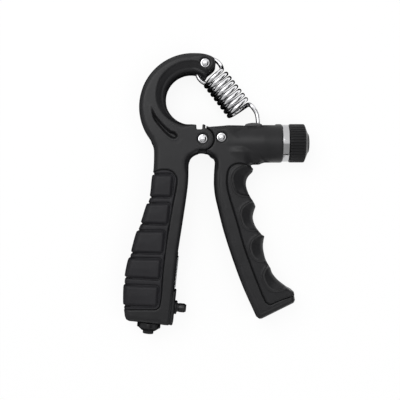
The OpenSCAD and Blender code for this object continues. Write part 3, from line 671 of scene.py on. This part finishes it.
def left_handle():
    plan = Plan((-48.4, -112.2), (9.6, 53.6))
    handle = section_without("left_handle", CUT_Z, SPRING_PIN, PIVOT_PIN)
    outline, side, seam_gap = plan.two_parts(handle, section("palm_grip", CUT_Z))
    core_outline = (outline + RUBBER_EDGE)[..., None]
    hollow, hollow_half = left_hollows(plan)

    # Edge radius: generous on the hook and the grip, small about the knuckle and the spring's pin
    knuckle = 1 - ease(plan.from_point(PIVOT_PIN), 8.6, 14)
    inner_edge = ease(plan.along(COUNTER_AT, COUNTER_U), -9, -5) * ease(-plan.y, 14, 22)
    tip = 1 - ease(plan.from_point(SPRING_PIN), 5, 9)
    radius = 3.8 - 3.0 * knuckle - 1.4 * inner_edge - 1.6 * tip

    half = HALF - hook_bevel(plan) - crescent_recess(plan) - arch_bevel(plan)
    seam_dip = 0.6 * bump(seam_gap, 0, 0.32)
    apron_slot = knuckle_apron(plan, APRON_R + 0.25, APRON_FROM - SQUEEZE_ROOM)[..., None]

    def plastic(z):
        core = np.maximum(core_outline, np.abs(z) - CORE_HALF)
        body = slab(outline, z, half - seam_dip, radius)
        body = np.maximum(body, -np.maximum(side[..., None], -core))
        room = np.maximum(-hollow[..., None], np.abs(z) - hollow_half[..., None])
        body = cut(body, np.maximum(room, outline[..., None] - 3), 0.25)
        body = np.maximum(body, -np.maximum(apron_slot, np.abs(z) - APRON_HALF - 0.3))
        for pin in (PIVOT_PIN, SPRING_PIN):
            body = cut(body, recess(plan, pin, z), 0.35)
        return body

    finish_piece(plan.mesh("left_handle_shell", plastic), "left", HANDLE, "left_handle")

    # The rubber: five raised pads, each in a moat, with a low rib between two moats
    pad_lines = section("palm_grip", HALF + 1.0)
    at = (pad_lines.mean(1) - plan.low) / STEP
    pad_sides = pad_lines[sample(outline, at) < -0.5]
    pads = np.where(plan.inside(pad_lines), -1, 1) * plan.gap(pad_sides)
    pads = plan.drawn_in(pads, outline, 0.9)
    rise, moat = 1 - ease(pads, -1.1, 0.1), bump(pads, 0.7, 0.42)
    crown = 0.15 * (1 - ease(pads, -6, -1))
    rubber_half = RIB_HALF + (PAD_TOP - 0.15 - RIB_HALF + crown) * rise - 0.95 * moat
    rubber_half = rubber_half - 0.7 * bump(seam_gap, 0, 0.3) + 0.15 * bump(seam_gap, 1.1, 0.45)
    rubber_outline = outline + 1.05 * moat + 0.45 * ease(pads, 0.2, 1.4)

    def palm(z):
        core = np.maximum(core_outline, np.abs(z) - CORE_HALF)
        body = np.maximum(slab(rubber_outline, z, rubber_half, PALM_EDGE_R),
                          side[..., None] + SKIN_GAP)
        return np.maximum(body, SKIN_GAP - core)

    finish_piece(plan.mesh("palm_grip_skin", palm), "left", PALM, "palm_grip")


# ---- Right handle ----

# Each scoop in the finger rubber: middle of its edge on the face, width, half height, lean
FINGER_SCOOPS = [
    ((17.6, -26.8), 11.0, 9.0, 15), ((22.6, -47.4), 10.5, 8.5, 16),
    ((28.2, -66.2), 10.5, 7.9, 17), ((36.6, -84.6), 12.0, 8.6, 28),
]
SCOOP_DEPTH, SCOOP_POWER = 7.2, 2.6     # the power sets how square a scoop's outline is
FINGER_EDGE_R = 2.6                     # radius of the finger rubber's edge
TONGUE_R, TONGUE_HALF = 5.6, 3.5        # the tongue between the left handle's cheeks
BARREL_FROM, BARREL_NARROW = 4.2, 2.4   # where the barrel starts, and how much thinner it is there
BARREL_ROUND = 0.7                      # rounding of the barrel's end


def finger_scoops(plan):
    """The depth of the four finger scoops, and the height of the rim about them."""
    dip, rim = np.zeros(plan.shape), np.zeros(plan.shape)
    for (edge_x, edge_y), width, half_height, lean in FINGER_SCOOPS:
        c, s = math.cos(math.radians(lean)), math.sin(math.radians(lean))
        into = (plan.x - edge_x) * c + (plan.y - edge_y) * s
        down = (plan.x - edge_x) * s - (plan.y - edge_y) * c
        across = np.maximum(width - into, 0) / width
        far = (across ** SCOOP_POWER + np.abs(down / half_height) ** SCOOP_POWER) ** (1 / SCOOP_POWER)
        wall = 1.1 * ease(1 - far, -0.01, 0.1)
        dip = np.maximum(dip, wall + SCOOP_DEPTH * np.clip(1 - far, 0, 1) ** 1.1)
        rim = np.maximum(rim, 0.4 * bump((far - 1) * half_height, 0.45, 0.4))
    return dip, rim


def barrel_shell(x, ring):
    """The barrel's signed distance: a slight cone whose outer end is rounded."""
    taper = BARREL_R - BARREL_NARROW * np.clip((36 - x) / 31.8, 0, 1)
    side = np.maximum(ring - taper, BARREL_FROM - x) + BARREL_ROUND
    end = x - BARREL_END + BARREL_ROUND
    return np.hypot(np.maximum(side, 0), np.maximum(end, 0)) - BARREL_ROUND \
        + np.minimum(np.maximum(side, end), 0)


def right_handle():
    plan = Plan((-8.0, -108.4), (55.6, 11.2))
    handle = section_without("right_handle", CUT_Z, BEARING_PIN)
    outline, side, seam_gap = plan.two_parts(handle, section("finger_grip", CUT_Z))
    side = side[..., None]
    x, y = plan.x, plan.y
    from_pivot = plan.from_point(PIVOT_PIN)

    radius = 3.2 - 2.4 * (1 - ease(from_pivot, 8.2, 12.5))
    seam_dip = 0.5 * bump(seam_gap, 0, 0.24)
    core_outline = (outline + RUBBER_EDGE)[..., None]
    lower_edge = 0.25 * bump(outline, -3.4, 0.35) * ease(-y, 16, 24)
    half = HALF - seam_dip - lower_edge - arch_bevel(plan)

    # The rubber, with a crease where each finger scoop meets the face
    dip, rim = finger_scoops(plan)
    rise = 0.95 * ease(seam_gap, 0.2, 0.8) - 0.4 * bump(seam_gap, 0, 0.3)
    rubber_half = 10.2 + rise - dip + rim
    core_half = np.minimum(CORE_HALF, rubber_half - RUBBER_OVER_CORE)[..., None]

    def core(z):
        return np.maximum(core_outline, np.abs(z) - core_half)

    # The flat handle dies into the barrel, and neither reaches under the arch
    upper = ease(y, BARREL_Y, BARREL_Y + 7)
    fall = ease(x + 9 * upper, 22.5, 31.5 + 9 * upper) * ease(y, BARREL_Y - 15, BARREL_Y - 10)
    face_half = half - 4.5 * fall
    barrel_side = np.minimum(x - 33.2, y - BARREL_Y + 9.5)[..., None]
    soft = 0.6 + 5.0 * (ease(x, 12, 22) * ease(-y, 4, 8))[..., None]
    arch = ARCH_R - plan.from_point(ARCH_AT)[..., None]
    tongue = np.minimum(from_pivot - TONGUE_R,
                        np.maximum(np.abs(x - 6) - 6, np.abs(y) - TONGUE_R))[..., None]
    apron = knuckle_apron(plan, APRON_R, APRON_FROM)[..., None]
    x, y, from_pivot = x[..., None], y[..., None], from_pivot[..., None]

    def plastic(z):
        height = np.abs(z)
        ring = np.hypot(y - BARREL_Y, z)
        body = np.maximum(slab(outline, z, face_half, radius), barrel_side)
        body = np.maximum(body, -np.maximum(side, -core(z)))
        body = np.maximum(join(body, barrel_shell(x, ring), soft), arch)
        body = np.maximum(body, KNUCKLE_ROOM - from_pivot)
        body = np.minimum(body, np.maximum(tongue, height - TONGUE_HALF))
        body = np.minimum(body, np.maximum(apron, height - APRON_HALF))
        body = cut(body, np.maximum(ring - BORE_R, BORE_FROM - x), 0.3)
        slot = np.maximum(np.maximum(SLOT_X[0] - x, x - SLOT_X[1]),
                          np.maximum(height - SLOT_HALF, BARREL_Y - y))
        body = cut(body, slot, 0.6)
        body = np.maximum(body, 1.65 - np.where(height < 3.6, from_pivot, 99.0))
        return cut(body, recess(plan, BEARING_PIN, z), 0.35)

    finish_piece(plan.mesh("right_handle_shell", plastic), "right", HANDLE, "right_handle")

    def finger(z):
        body = np.maximum(slab(outline, z, rubber_half, FINGER_EDGE_R), side + SKIN_GAP)
        return np.maximum(body, SKIN_GAP - core(z))

    finish_piece(plan.mesh("finger_grip_skin", finger), "right", FINGER, "finger_grip")


# ---- Rivets, ring and knob ----

SCREW_HOLE_R = 3.1          # around the lead screw, in the ring and in the knob
RING_L, RING_R = 4.0, 11.1
KNOB_X = BARREL_END + RING_L + 0.15
KNOB_L, KNOB_R, KNOB_RIBS, RIB_DEPTH = 9.4, 11.5, 40, 0.55


def rivet(name, at, body, node):
    """A pin with a stepped, domed head at each face, in one piece."""
    floor, dome_r, dome_edge = HALF - PIN_RECESS_DEPTH, 3.1, math.radians(37)
    head = [(-0.2, PIN_R - 0.02), (0, PIN_R), (0, 2.5), (0.1, 2.6), (0.45, 2.6), (0.57, 2.52),
            (0.62, 2.36), (0.62, 2.12), (0.66, 2.02), (0.92, 1.96)]
    dome = [(1.04 + dome_r * (math.cos(a) - math.cos(dome_edge)), dome_r * math.sin(a))
            for a in np.linspace(dome_edge, 0.02, 12)]
    upper = [(floor + a, r) for a, r in head + dome]
    outline = [(-a, r) for a, r in reversed(upper)] + upper
    finish_piece(turned(name, outline, at, (0, 0, 1), 48), body, CHROME, node)


def end_ring():
    start, end = BARREL_END, BARREL_END + RING_L
    outline = rounded_outline([
        (start - 2.4, SCREW_HOLE_R), (start - 2.4, BORE_R - 0.05), (start, BORE_R - 0.05),
        (start, RING_R - 0.2), (start + 0.25, RING_R), (end - 0.25, RING_R), (end, RING_R - 0.3),
        (end, SCREW_HOLE_R)], 0.25)
    piece = turned("chrome_ring", outline, (0, BARREL_Y, 0), (1, 0, 0), 128, closed=True)
    finish_piece(piece, "right", RING_CHROME, "end_ring", slot="chrome")


def adjust_knob():
    def ribbed(along, radius, angle):
        share = ease(along, 0.15, 0.7) * (1 - ease(along, KNOB_L - 0.6, KNOB_L - 0.05))
        wave = np.clip(0.5 + 1.1 * np.cos(angle * KNOB_RIBS), 0, 1)
        return radius - RIB_DEPTH * share * (1 - wave) * (radius > KNOB_R - 1)

    outline = [(0.9, SCREW_HOLE_R), (0.9, 5.2), (0.0, 5.2), (0.0, 10.6), (0.12, 10.95),
               (0.3, 11.25), (0.55, 11.4), (0.9, KNOB_R)]
    outline += [(a, KNOB_R) for a in np.linspace(1.4, KNOB_L - 1.0, 8)]
    outline += [(KNOB_L - 0.5, 11.45), (KNOB_L - 0.15, 11.2), (KNOB_L, 10.9), (KNOB_L + 0.2, 10.5),
                (KNOB_L + 1.5, 7.2), (KNOB_L + 1.85, 6.45), (KNOB_L + 1.95, 6.2),
                (KNOB_L + 1.95, 4.6), (KNOB_L - 2.6, 4.5), (KNOB_L - 2.6, SCREW_HOLE_R)]
    piece = turned("adjusting_knob", outline, (KNOB_X, BARREL_Y, 0), (1, 0, 0), 480,
                   radius_at=ribbed, closed=True)
    finish_piece(piece, "adjuster", KNOB, "adjust_knob")


def knob_cap():
    top = KNOB_L + 2.6
    outline = rounded_outline([
        (KNOB_L + 0.6, 0.02), (KNOB_L + 0.6, 4.35), (KNOB_L + 1.97, 4.35), (KNOB_L + 1.97, 5.6),
        (top - 0.15, 5.6), (top, 5.3), (top, 4.4), (top - 0.22, 4.2), (top - 0.22, 0.02)], 0.18)
    piece = turned("knob_end_cap", outline, (KNOB_X, BARREL_Y, 0), (1, 0, 0), 96)
    finish_piece(piece, "adjuster", KNOB, "knob_cap")


def slider():
    """The nut on the lead screw, with the tab that carries the spring's hook."""
    middle_x, half_l, nut_r, tab_top = 30.4, 5.0, 7.8, 10.3
    low = (middle_x - half_l - 0.8, -11.2, -9.2)
    high = (middle_x + half_l + 0.8, 11.7, 9.2)

    def field(x, y, z):
        ring = np.hypot(y - BARREL_Y, z)
        ends = np.abs(x - middle_x) - half_l
        nut = np.maximum(ring - nut_r, ends)
        tab = np.maximum(np.maximum(np.abs(z) - 3.7, ends), np.maximum(y - tab_top, BARREL_Y - y))
        body = cut(np.minimum(nut, tab), ring - 3.05, 0.3)
        slit = np.maximum(np.abs(z) - 1.6, np.maximum(26.6 - x, 1.3 - y))
        body = cut(body, slit, 0.5)
        pin = np.hypot(x - SLIDER_PIN[0], y - SLIDER_PIN[1]) - PIN_R
        crown = y - 10.0 + 0.035 * (x - middle_x) ** 2
        return np.maximum(cut(body, pin, 0.2), crown)

    points, quads = surface(field, low, high, 0.35)
    finish_piece(make_mesh("spring_slider", points, quads), "slider_block", GREY_NYLON, "slider")


# ---- Tension spring ----

WIRE_R, COIL_R, COILS, LOOP_R = 1.3, 7.2, 8, 7.6


def spring_path():
    """The wire's centre line, in the same turns as the frame's, and each point's share of the pull:
    a wide loop about the hook's pin, the coils, and a small hook about the slider's pin."""
    pull = (SLIDER_PIN - SPRING_PIN) * [1, 1, 0]
    length = np.linalg.norm(pull)
    along = pull / length
    across = np.array([-along[1], along[0], 0])
    seat = PIN_R + WIRE_R + 0.15            # from a pin's centre to the wire's
    loop_at = LOOP_R - seat
    coil_from, coil_to = loop_at + LOOP_R * 0.52, length - 14.6
    path = [(loop_at + LOOP_R * math.cos(a), -LOOP_R * math.sin(a), 0)
            for a in np.radians(48 + np.arange(41) * 6)]
    steps = COILS * 40
    for i in range(3, steps - 1):
        a = math.radians(90 - i * 9)
        path.append((coil_from + (coil_to - coil_from) * i / steps,
                     COIL_R * math.sin(a), COIL_R * math.cos(a)))
    path += [tuple(p) for p in curve([
        [coil_to + 1.2, COIL_R, 0], [coil_to + 3.6, 7.4, 0], [length - 7.4, 7.1, 0],
        [length - 4.2, 5.6, 0], [length - 0.4, seat, 0]], 6)]
    path += [(length + seat * math.cos(a), seat * math.sin(a), 0)
             for a in np.radians(90 - np.arange(1, 19) * 10)]
    path = np.array(path)
    share = np.clip((path[:, 0] - loop_at) / (length - 8 - loop_at), 0, 1)
    points = SPRING_PIN * [1, 1, 0] + np.outer(path[:, 0], along) + np.outer(path[:, 1], across)
    points[:, 2] += path[:, 2]
    return points, share


def resample(points, share, gap):
    """Even steps along the path, smoothed so that the wire has no kinks."""
    for _ in range(3):
        points[1:-1] = (points[:-2] + 2 * points[1:-1] + points[2:]) / 4
    run = np.concatenate([[0], np.cumsum(np.linalg.norm(np.diff(points, axis=0), axis=1))])
    at = np.linspace(0, run[-1], int(run[-1] / gap) + 1)
    even = np.stack([np.interp(at, run, points[:, k]) for k in range(3)], 1)
    return even, np.interp(at, run, share)


def wire(name, points, share, radius, sides):
    """A round wire along the points, and each mesh point's share."""
    tangent = np.gradient(points, axis=0)
    tangent /= np.linalg.norm(tangent, axis=1)[:, None]
    side = np.cross(tangent[0], [0, 0, 1.0])
    rings, weights = [], []
    angle = np.arange(sides) * 2 * math.pi / sides
    for i, (point, ahead) in enumerate(zip(points, tangent)):
        side = side - ahead * side.dot(ahead)
        side /= np.linalg.norm(side)
        up = np.cross(ahead, side)
        r = radius * (0.8 if i in (0, len(points) - 1) else 1)
        rings.append(point + r * (np.outer(np.cos(angle), side) + np.outer(np.sin(angle), up)))
        weights += [share[i]] * sides
    return make_mesh(name, np.concatenate(rings), ring_faces(len(points), sides)), weights


def pull_end(piece, weights, at, body, turned_with=None):
    """A vertex follows a body by its weight, so that a spring stretches between its two ends."""
    end = new_object(piece.name + "_end", None)
    end.location = at
    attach(end, body)
    if turned_with:
        turn = end.constraints.new("COPY_ROTATION")
        turn.target = frame["bodies"][turned_with]
    group = piece.vertex_groups.new(name="pull")
    rounded = np.round(weights, 3)
    for value in sorted(set(rounded)):
        group.add(np.nonzero(rounded == value)[0].tolist(), float(value), "REPLACE")
    bpy.context.view_layer.update()
    stretch = piece.modifiers.new("stretch", "HOOK")
    stretch.object = end
    stretch.vertex_group = "pull"
    stretch.falloff_type = "NONE"
    stretch.matrix_inverse = end.matrix_world.inverted() @ piece.matrix_world


def tension_spring():
    points, share = resample(*spring_path(), 0.9)
    piece, weights = wire("coil_spring", points, share, WIRE_R, 20 // SIDES)
    finish_piece(piece, "spring", SPRING_CHROME, "tension_spring")

    # The hooked end follows the slider's pin, and the coils stretch between the two ends
    pull_end(piece, weights, place(SLIDER_PIN), "slider_block", "spring")


# ---- Counter ----

END_V = -10.1                           # the left handle's lower end
BEZEL_HALF_Z, BEZEL_U = 7.2, (-3.0, -1.5)
WINDOW_V, WINDOW_Z = (11.4, 30.6), 5.0  # the window's two ends, and half its width


def counter_field(name, field, low, high, step):
    """A modelled piece given in the counter's axes."""
    points, quads = surface(field, low, high, step)
    return make_mesh(name, counter(points[:, 0], points[:, 1], points[:, 2]), quads)


def box_field(low, high, radius):
    """A box with rounded edges."""
    centre, size = (np.array(low) + high) / 2, (np.array(high) - low) / 2 - radius

    def field(u, v, z):
        a = np.abs(u - centre[0]) - size[0]
        b = np.abs(v - centre[1]) - size[1]
        c = np.abs(z - centre[2]) - size[2]
        outside = np.sqrt(np.maximum(a, 0) ** 2 + np.maximum(b, 0) ** 2 + np.maximum(c, 0) ** 2)
        return outside + np.minimum(np.maximum(np.maximum(a, b), c), 0) - radius

    return field


def counter_bezel():
    plate = box_field((BEZEL_U[0], -8.5, -BEZEL_HALF_Z), (BEZEL_U[1] + 0.25, 32.7, BEZEL_HALF_Z), 0.4)
    boss = box_field((-2.2, END_V + 0.2, -7.9), (0.0, 10.2, 7.9), 0.7)
    window = box_field((-6.0, WINDOW_V[0], -WINDOW_Z), (2.0, WINDOW_V[1], WINDOW_Z), 0.5)

    def field(u, v, z):
        body = join(plate(u, v, z), boss(u, v, z), 0.5)
        body = cut(body, window(u, v, z), 0.4)
        return cut(body, np.hypot(v, z) - 3.62, 0.2)

    piece = counter_field("counter_bezel_plate", field, (-3.8, -10.8, -8.7), (0.8, 33.5, 8.7), 0.3)
    finish_piece(piece, "left", TRIM, "counter_bezel")


def counter_lens():
    pane = box_field((-2.4, WINDOW_V[0] + 0.05, -WINDOW_Z + 0.05),
                     (-0.75, WINDOW_V[1] - 0.05, WINDOW_Z - 0.05), 0.3)
    piece = counter_field("counter_window", pane, (-3.0, 10.8, -5.6), (-0.3, 31.2, 5.6), 0.25)
    finish_piece(piece, "left", LENS, "counter_lens")


def plunger():
    head_u, head_t, reach = -3.1, 1.0, 7.0
    outline = rounded_outline([
        (head_u - 0.5, 0.02), (head_u - 0.5, 2.7), (1.9, 2.7), (2.1, 2.5), (2.5, 2.5), (2.7, 2.7),
        (5.9, 2.7), (6.15, 2.35), (reach - 0.15, 2.2), (reach, 1.9), (reach, 0.9), (reach - 0.2, 0.7),
        (reach - 0.2, 0.02)], 0.2)
    piece = turned("squeeze_plunger", outline, COUNTER_AT, COUNTER_U, 64)
    bar = box_field((head_u - head_t, -3.4, -6.7), (head_u, 3.4, 6.6), 0.2)
    cross = counter_field("plunger_cross_head", bar, (-4.7, -4.0, -7.3), (-2.5, 4.0, 7.2), 0.3)
    finish_piece(piece, "plunger_set", PLUNGER, "plunger")
    finish_piece(cross, "plunger_set", PLUNGER)


def plunger_spring():
    """The plunger's return spring, between its cross head and the counter's frame."""
    radius, wire_r, turns = 1.2, 0.25, 7
    points = node_points("plunger_spring")
    reach = (points - COUNTER_AT) @ COUNTER_U
    front, back = reach.max() - wire_r, reach.min() + wire_r
    z = (points[:, 2].max() + points[:, 2].min()) / 2
    share = np.linspace(1, 0, turns * 24 + 1)
    angle = 2 * math.pi * turns * share
    path = counter(back + (front - back) * share, radius * np.cos(angle), z + radius * np.sin(angle))
    piece, weights = wire("plunger_return_spring", path, share, wire_r, 10)
    finish_piece(piece, "left", STEEL, "plunger_spring")
    pull_end(piece, weights, place(counter(front, 0.0, z)), "plunger_set")


def plunger_bush():
    outline = rounded_outline([
        (-3.0, 2.75), (-3.0, 3.6), (0.0, 3.6), (0.0, 4.1), (1.1, 4.1), (1.5, 3.7), (1.5, 2.95),
        (1.3, 2.75)], 0.2)
    piece = turned("plunger_collar", outline, COUNTER_AT, COUNTER_U, 64, closed=True)
    finish_piece(piece, "left", TRIM, "plunger_bush")


def reset_knob():
    top = END_V - 0.3

    def scalloped(along, radius, angle):
        share = ease(along, 0.1, 0.5) * (1 - ease(along, 3.0, 4.6))
        return radius - 0.55 * share * (0.5 - 0.5 * np.cos(angle * 8)) * (radius > 4.5)

    outline = [(-1.4, 1.25), (-1.4, 1.75), (0.0, 1.8), (0.0, 6.3), (0.15, 6.75), (0.45, 7.0)]
    outline += [(a, 7.0) for a in (1.0, 1.7, 2.4, 2.9)]
    outline += [(3.25, 6.75), (3.45, 6.2), (4.85, 4.35), (5.0, 4.0), (5.15, 3.3), (5.3, 3.2),
                (6.6, 3.2), (6.85, 3.0), (6.9, 2.7), (6.9, 1.6), (6.6, 1.4), (6.6, 0.02),
                (0.2, 0.02), (0.2, 1.25)]
    piece = turned("counter_reset_knob", outline, counter(RESET_U, top), -COUNTER_V, 192,
                   radius_at=scalloped, closed=True)
    finish_piece(piece, "reset_set", TRIM, "reset_knob")


WHEELS = ["units", "tens", "hundreds", "thousands"]
WHEEL_R, WHEEL_V, WHEEL_STEP, BAND = 5.8, 11.6, 4.7, 3.2


def digit_shape(text):
    """The triangles of one plain numeral, centred, two millimetres wide or so."""
    data = bpy.data.curves.new("numeral", "FONT")
    data.body = text
    data.size = 3.6
    data.align_x = "CENTER"
    data.resolution_u = 3
    holder = new_object("numeral", data)
    bpy.context.view_layer.update()
    mesh = holder.evaluated_get(bpy.context.evaluated_depsgraph_get()).to_mesh()
    points = np.array([v.co[:2] for v in mesh.vertices])
    faces = [tuple(p.vertices) for p in mesh.polygons]
    bpy.data.objects.remove(holder)
    bpy.data.curves.remove(data)
    return points - (points.max(0) + points.min(0)) / 2, faces


def wheel_numbers():
    """Ten printed numerals around each number wheel."""
    shapes = [digit_shape(str(k)) for k in range(10)]
    for i, body in enumerate(WHEELS):
        middle = WHEEL_V + i * WHEEL_STEP + BAND / 2
        points, faces, count = [], [], 0
        for k, (shape, shape_faces) in enumerate(shapes):
            angle = math.radians(36 * k) + shape[:, 1] / WHEEL_R
            for radius in (WHEEL_R - 0.02, WHEEL_R + 0.03):
                points.append(counter(WHEEL_U + radius * np.cos(angle), middle + shape[:, 0],
                                      radius * np.sin(angle)))
            size = len(shape)
            faces += [tuple(v + count + size for v in face) for face in shape_faces]
            faces += [tuple(v + count for v in face[::-1]) for face in shape_faces]
            count += 2 * size
        piece = make_mesh(body + "_numerals", np.concatenate(points), faces, smooth=False)
        finish_piece(piece, body, NUMBER_BLACK, slot="number_white")


# ---- Stage ----

FLOOR_GLOW, FLOOR_WHITE = 0.86, 1.05    # share and strength of the floor's own white, as it is seen
FLOOR_HALF, FLOOR_GAP = 6.0, 0.0002
WORLD_LIGHT = 0.35
CARD_BLACK, CARD_GREY = (0.004, 0.008), (0.42, 0.5)


def strip(name, rows):
    """A strip of four-sided faces through rows of two points, in metres."""
    mesh = bpy.data.meshes.new(name)
    faces = [(2 * k, 2 * k + 2, 2 * k + 3, 2 * k + 1) for k in range(len(rows) - 1)]
    mesh.from_pydata([point for row in rows for point in row], [], faces)
    piece = new_object(name, mesh)
    return piece


def seen_rays(tree):
    """1 where the camera sees a thing, straight on, in a mirror or through the window."""
    path = add(tree, "LightPath")
    seen = path.outputs["Is Camera Ray"]
    for kind in ("Is Glossy Ray", "Is Transmission Ray"):
        either = add(tree, "Math", operation="MAXIMUM")
        tree.links.new(seen, either.inputs[0])
        tree.links.new(path.outputs[kind], either.inputs[1])
        seen = either.outputs[0]
    return seen


def stage():
    """A pale paper floor. The camera sees it paler, with the shadow still on it."""
    ends = (-FLOOR_HALF, FLOOR_HALF)
    floor = strip("floor", [[(x, y, 0) for y in ends] for x in ends])
    floor.location.z = -FLOOR_GAP
    material, tree, shader = node_material("floor_paper", Roughness=0.9, Specular_IOR_Level=0.2)
    grain = noise(tree, 900.0)
    paper = blend_colours(tree, grain.outputs["Fac"], (0.93, 0.93, 0.93), (0.97, 0.97, 0.97))
    tree.links.new(paper, shader.inputs["Base Color"])
    glow = add(tree, "Emission", Color=(1, 1, 1, 1), Strength=FLOOR_WHITE)
    share = add(tree, "Math", operation="MULTIPLY")
    share.inputs[1].default_value = FLOOR_GLOW
    tree.links.new(seen_rays(tree), share.inputs[0])
    pick = add(tree, "MixShader")
    for socket, source in enumerate((share, shader, glow)):
        tree.links.new(source.outputs[0], pick.inputs[socket])
    tree.links.new(pick.outputs[0], tree.nodes["Material Output"].inputs["Surface"])
    floor.data.materials.append(material)


def card(name, rows, tones, glowing=False):
    """A studio card that only shows in reflections."""
    piece = strip(name, rows)
    material, tree, shader = node_material(name, Roughness=0.9, Specular_IOR_Level=0.0)
    grain = noise(tree, 60.0)
    tone = blend_colours(tree, grain.outputs["Fac"], *((value,) * 3 for value in tones))
    tree.links.new(tone, shader.inputs["Emission Color" if glowing else "Base Color"])
    if glowing:
        shader.inputs["Base Color"].default_value = (0, 0, 0, 1)
        shader.inputs["Emission Strength"].default_value = 1.0
    piece.data.materials.append(material)
    piece.visible_camera = False
    piece.visible_shadow = False
    piece.visible_diffuse = False
    piece.visible_transmission = False


def cards():
    """What the glossy parts mirror: three dark cards standing around the object, a grey one over it
    and a black sheet on the table, about the handles and the spring."""
    around, over, wide = 0.55, 1.3, 1.6
    for name, start, end, low, high in (("front_strip", 200, 340, 0.085, 0.19),
                                        ("right_card", -42, 42, 0.02, 0.5),
                                        ("left_card", 150, 198, 0.02, 0.26)):
        rows = [[(around * math.cos(a), around * math.sin(a), z) for z in (low, high)]
                for a in np.radians(np.linspace(start, end, 25))]
        card(name, rows, CARD_BLACK)

    rows = [[(x, -over * math.cos(a), over * math.sin(a)) for x in (wide, -wide)]
            for a in np.radians(np.linspace(20, 86, 13))]
    card("grey_card", rows, CARD_GREY, glowing=True)

    low, high = place((-140, -175, -11.4)), place((41, 95, -11.4))
    rows = [[(x, y, low[2]) for y in (low[1], high[1])] for x in (low[0], high[0])]
    card("black_sheet", rows, CARD_BLACK)


def world():
    scene = bpy.context.scene
    scene.world = bpy.data.worlds.new("studio")
    scene.world.use_nodes = True
    tree = scene.world.node_tree
    background = tree.nodes["Background"]
    tree.links.new(ramp(tree, seen_rays(tree), 0, 1, WORLD_LIGHT, 1.0),
                   background.inputs["Strength"])
    background.inputs["Color"].default_value = (1, 1, 1, 1)


def area_light(name, position, size, power, mirrored=True):
    """A soft light aimed at the frame's origin."""
    data = bpy.data.lights.new(name, "AREA")
    data.shape = "RECTANGLE"
    data.size, data.size_y = size
    data.energy = power
    lamp = new_object(name, data)
    lamp.location = position
    lamp.visible_glossy = mirrored
    aim = -np.array(position)
    lamp.rotation_euler = (math.acos(-aim[2] / np.linalg.norm(aim)), 0,
                           math.atan2(-aim[0], aim[1]))


CAMERA_AT, CAMERA_ANGLE = (-1.6, -36.0, 450.0), 29.86


def camera():
    """Straight down on the object."""
    data = bpy.data.cameras.new("camera")
    data.sensor_fit = "HORIZONTAL"
    data.angle = math.radians(CAMERA_ANGLE)
    view = new_object("camera", data)
    view.location = place(CAMERA_AT)
    bpy.context.scene.camera = view


# ---- The whole scene ----

paint_nodes()
left_handle()
right_handle()
rivet("pivot_rivet", PIVOT_PIN, "left", "pivot_pin")
rivet("spring_rivet", SPRING_PIN * [1, 1, 0], "left", "spring_pin")
rivet("bearing_rivet", BEARING_PIN, "right", "bearing_pin")
end_ring()
adjust_knob()
knob_cap()
slider()
tension_spring()
counter_bezel()
counter_lens()
plunger()
plunger_spring()
plunger_bush()
reset_knob()
wheel_numbers()

bpy.context.scene.view_settings.view_transform = "Standard"
stage()
cards()
world()
area_light("key", (-0.25, 0.3, 0.75), (0.5, 0.5), 2.2)
area_light("fill", (0.3, -0.2, 0.8), (0.6, 0.4), 1.4, mirrored=False)
camera()
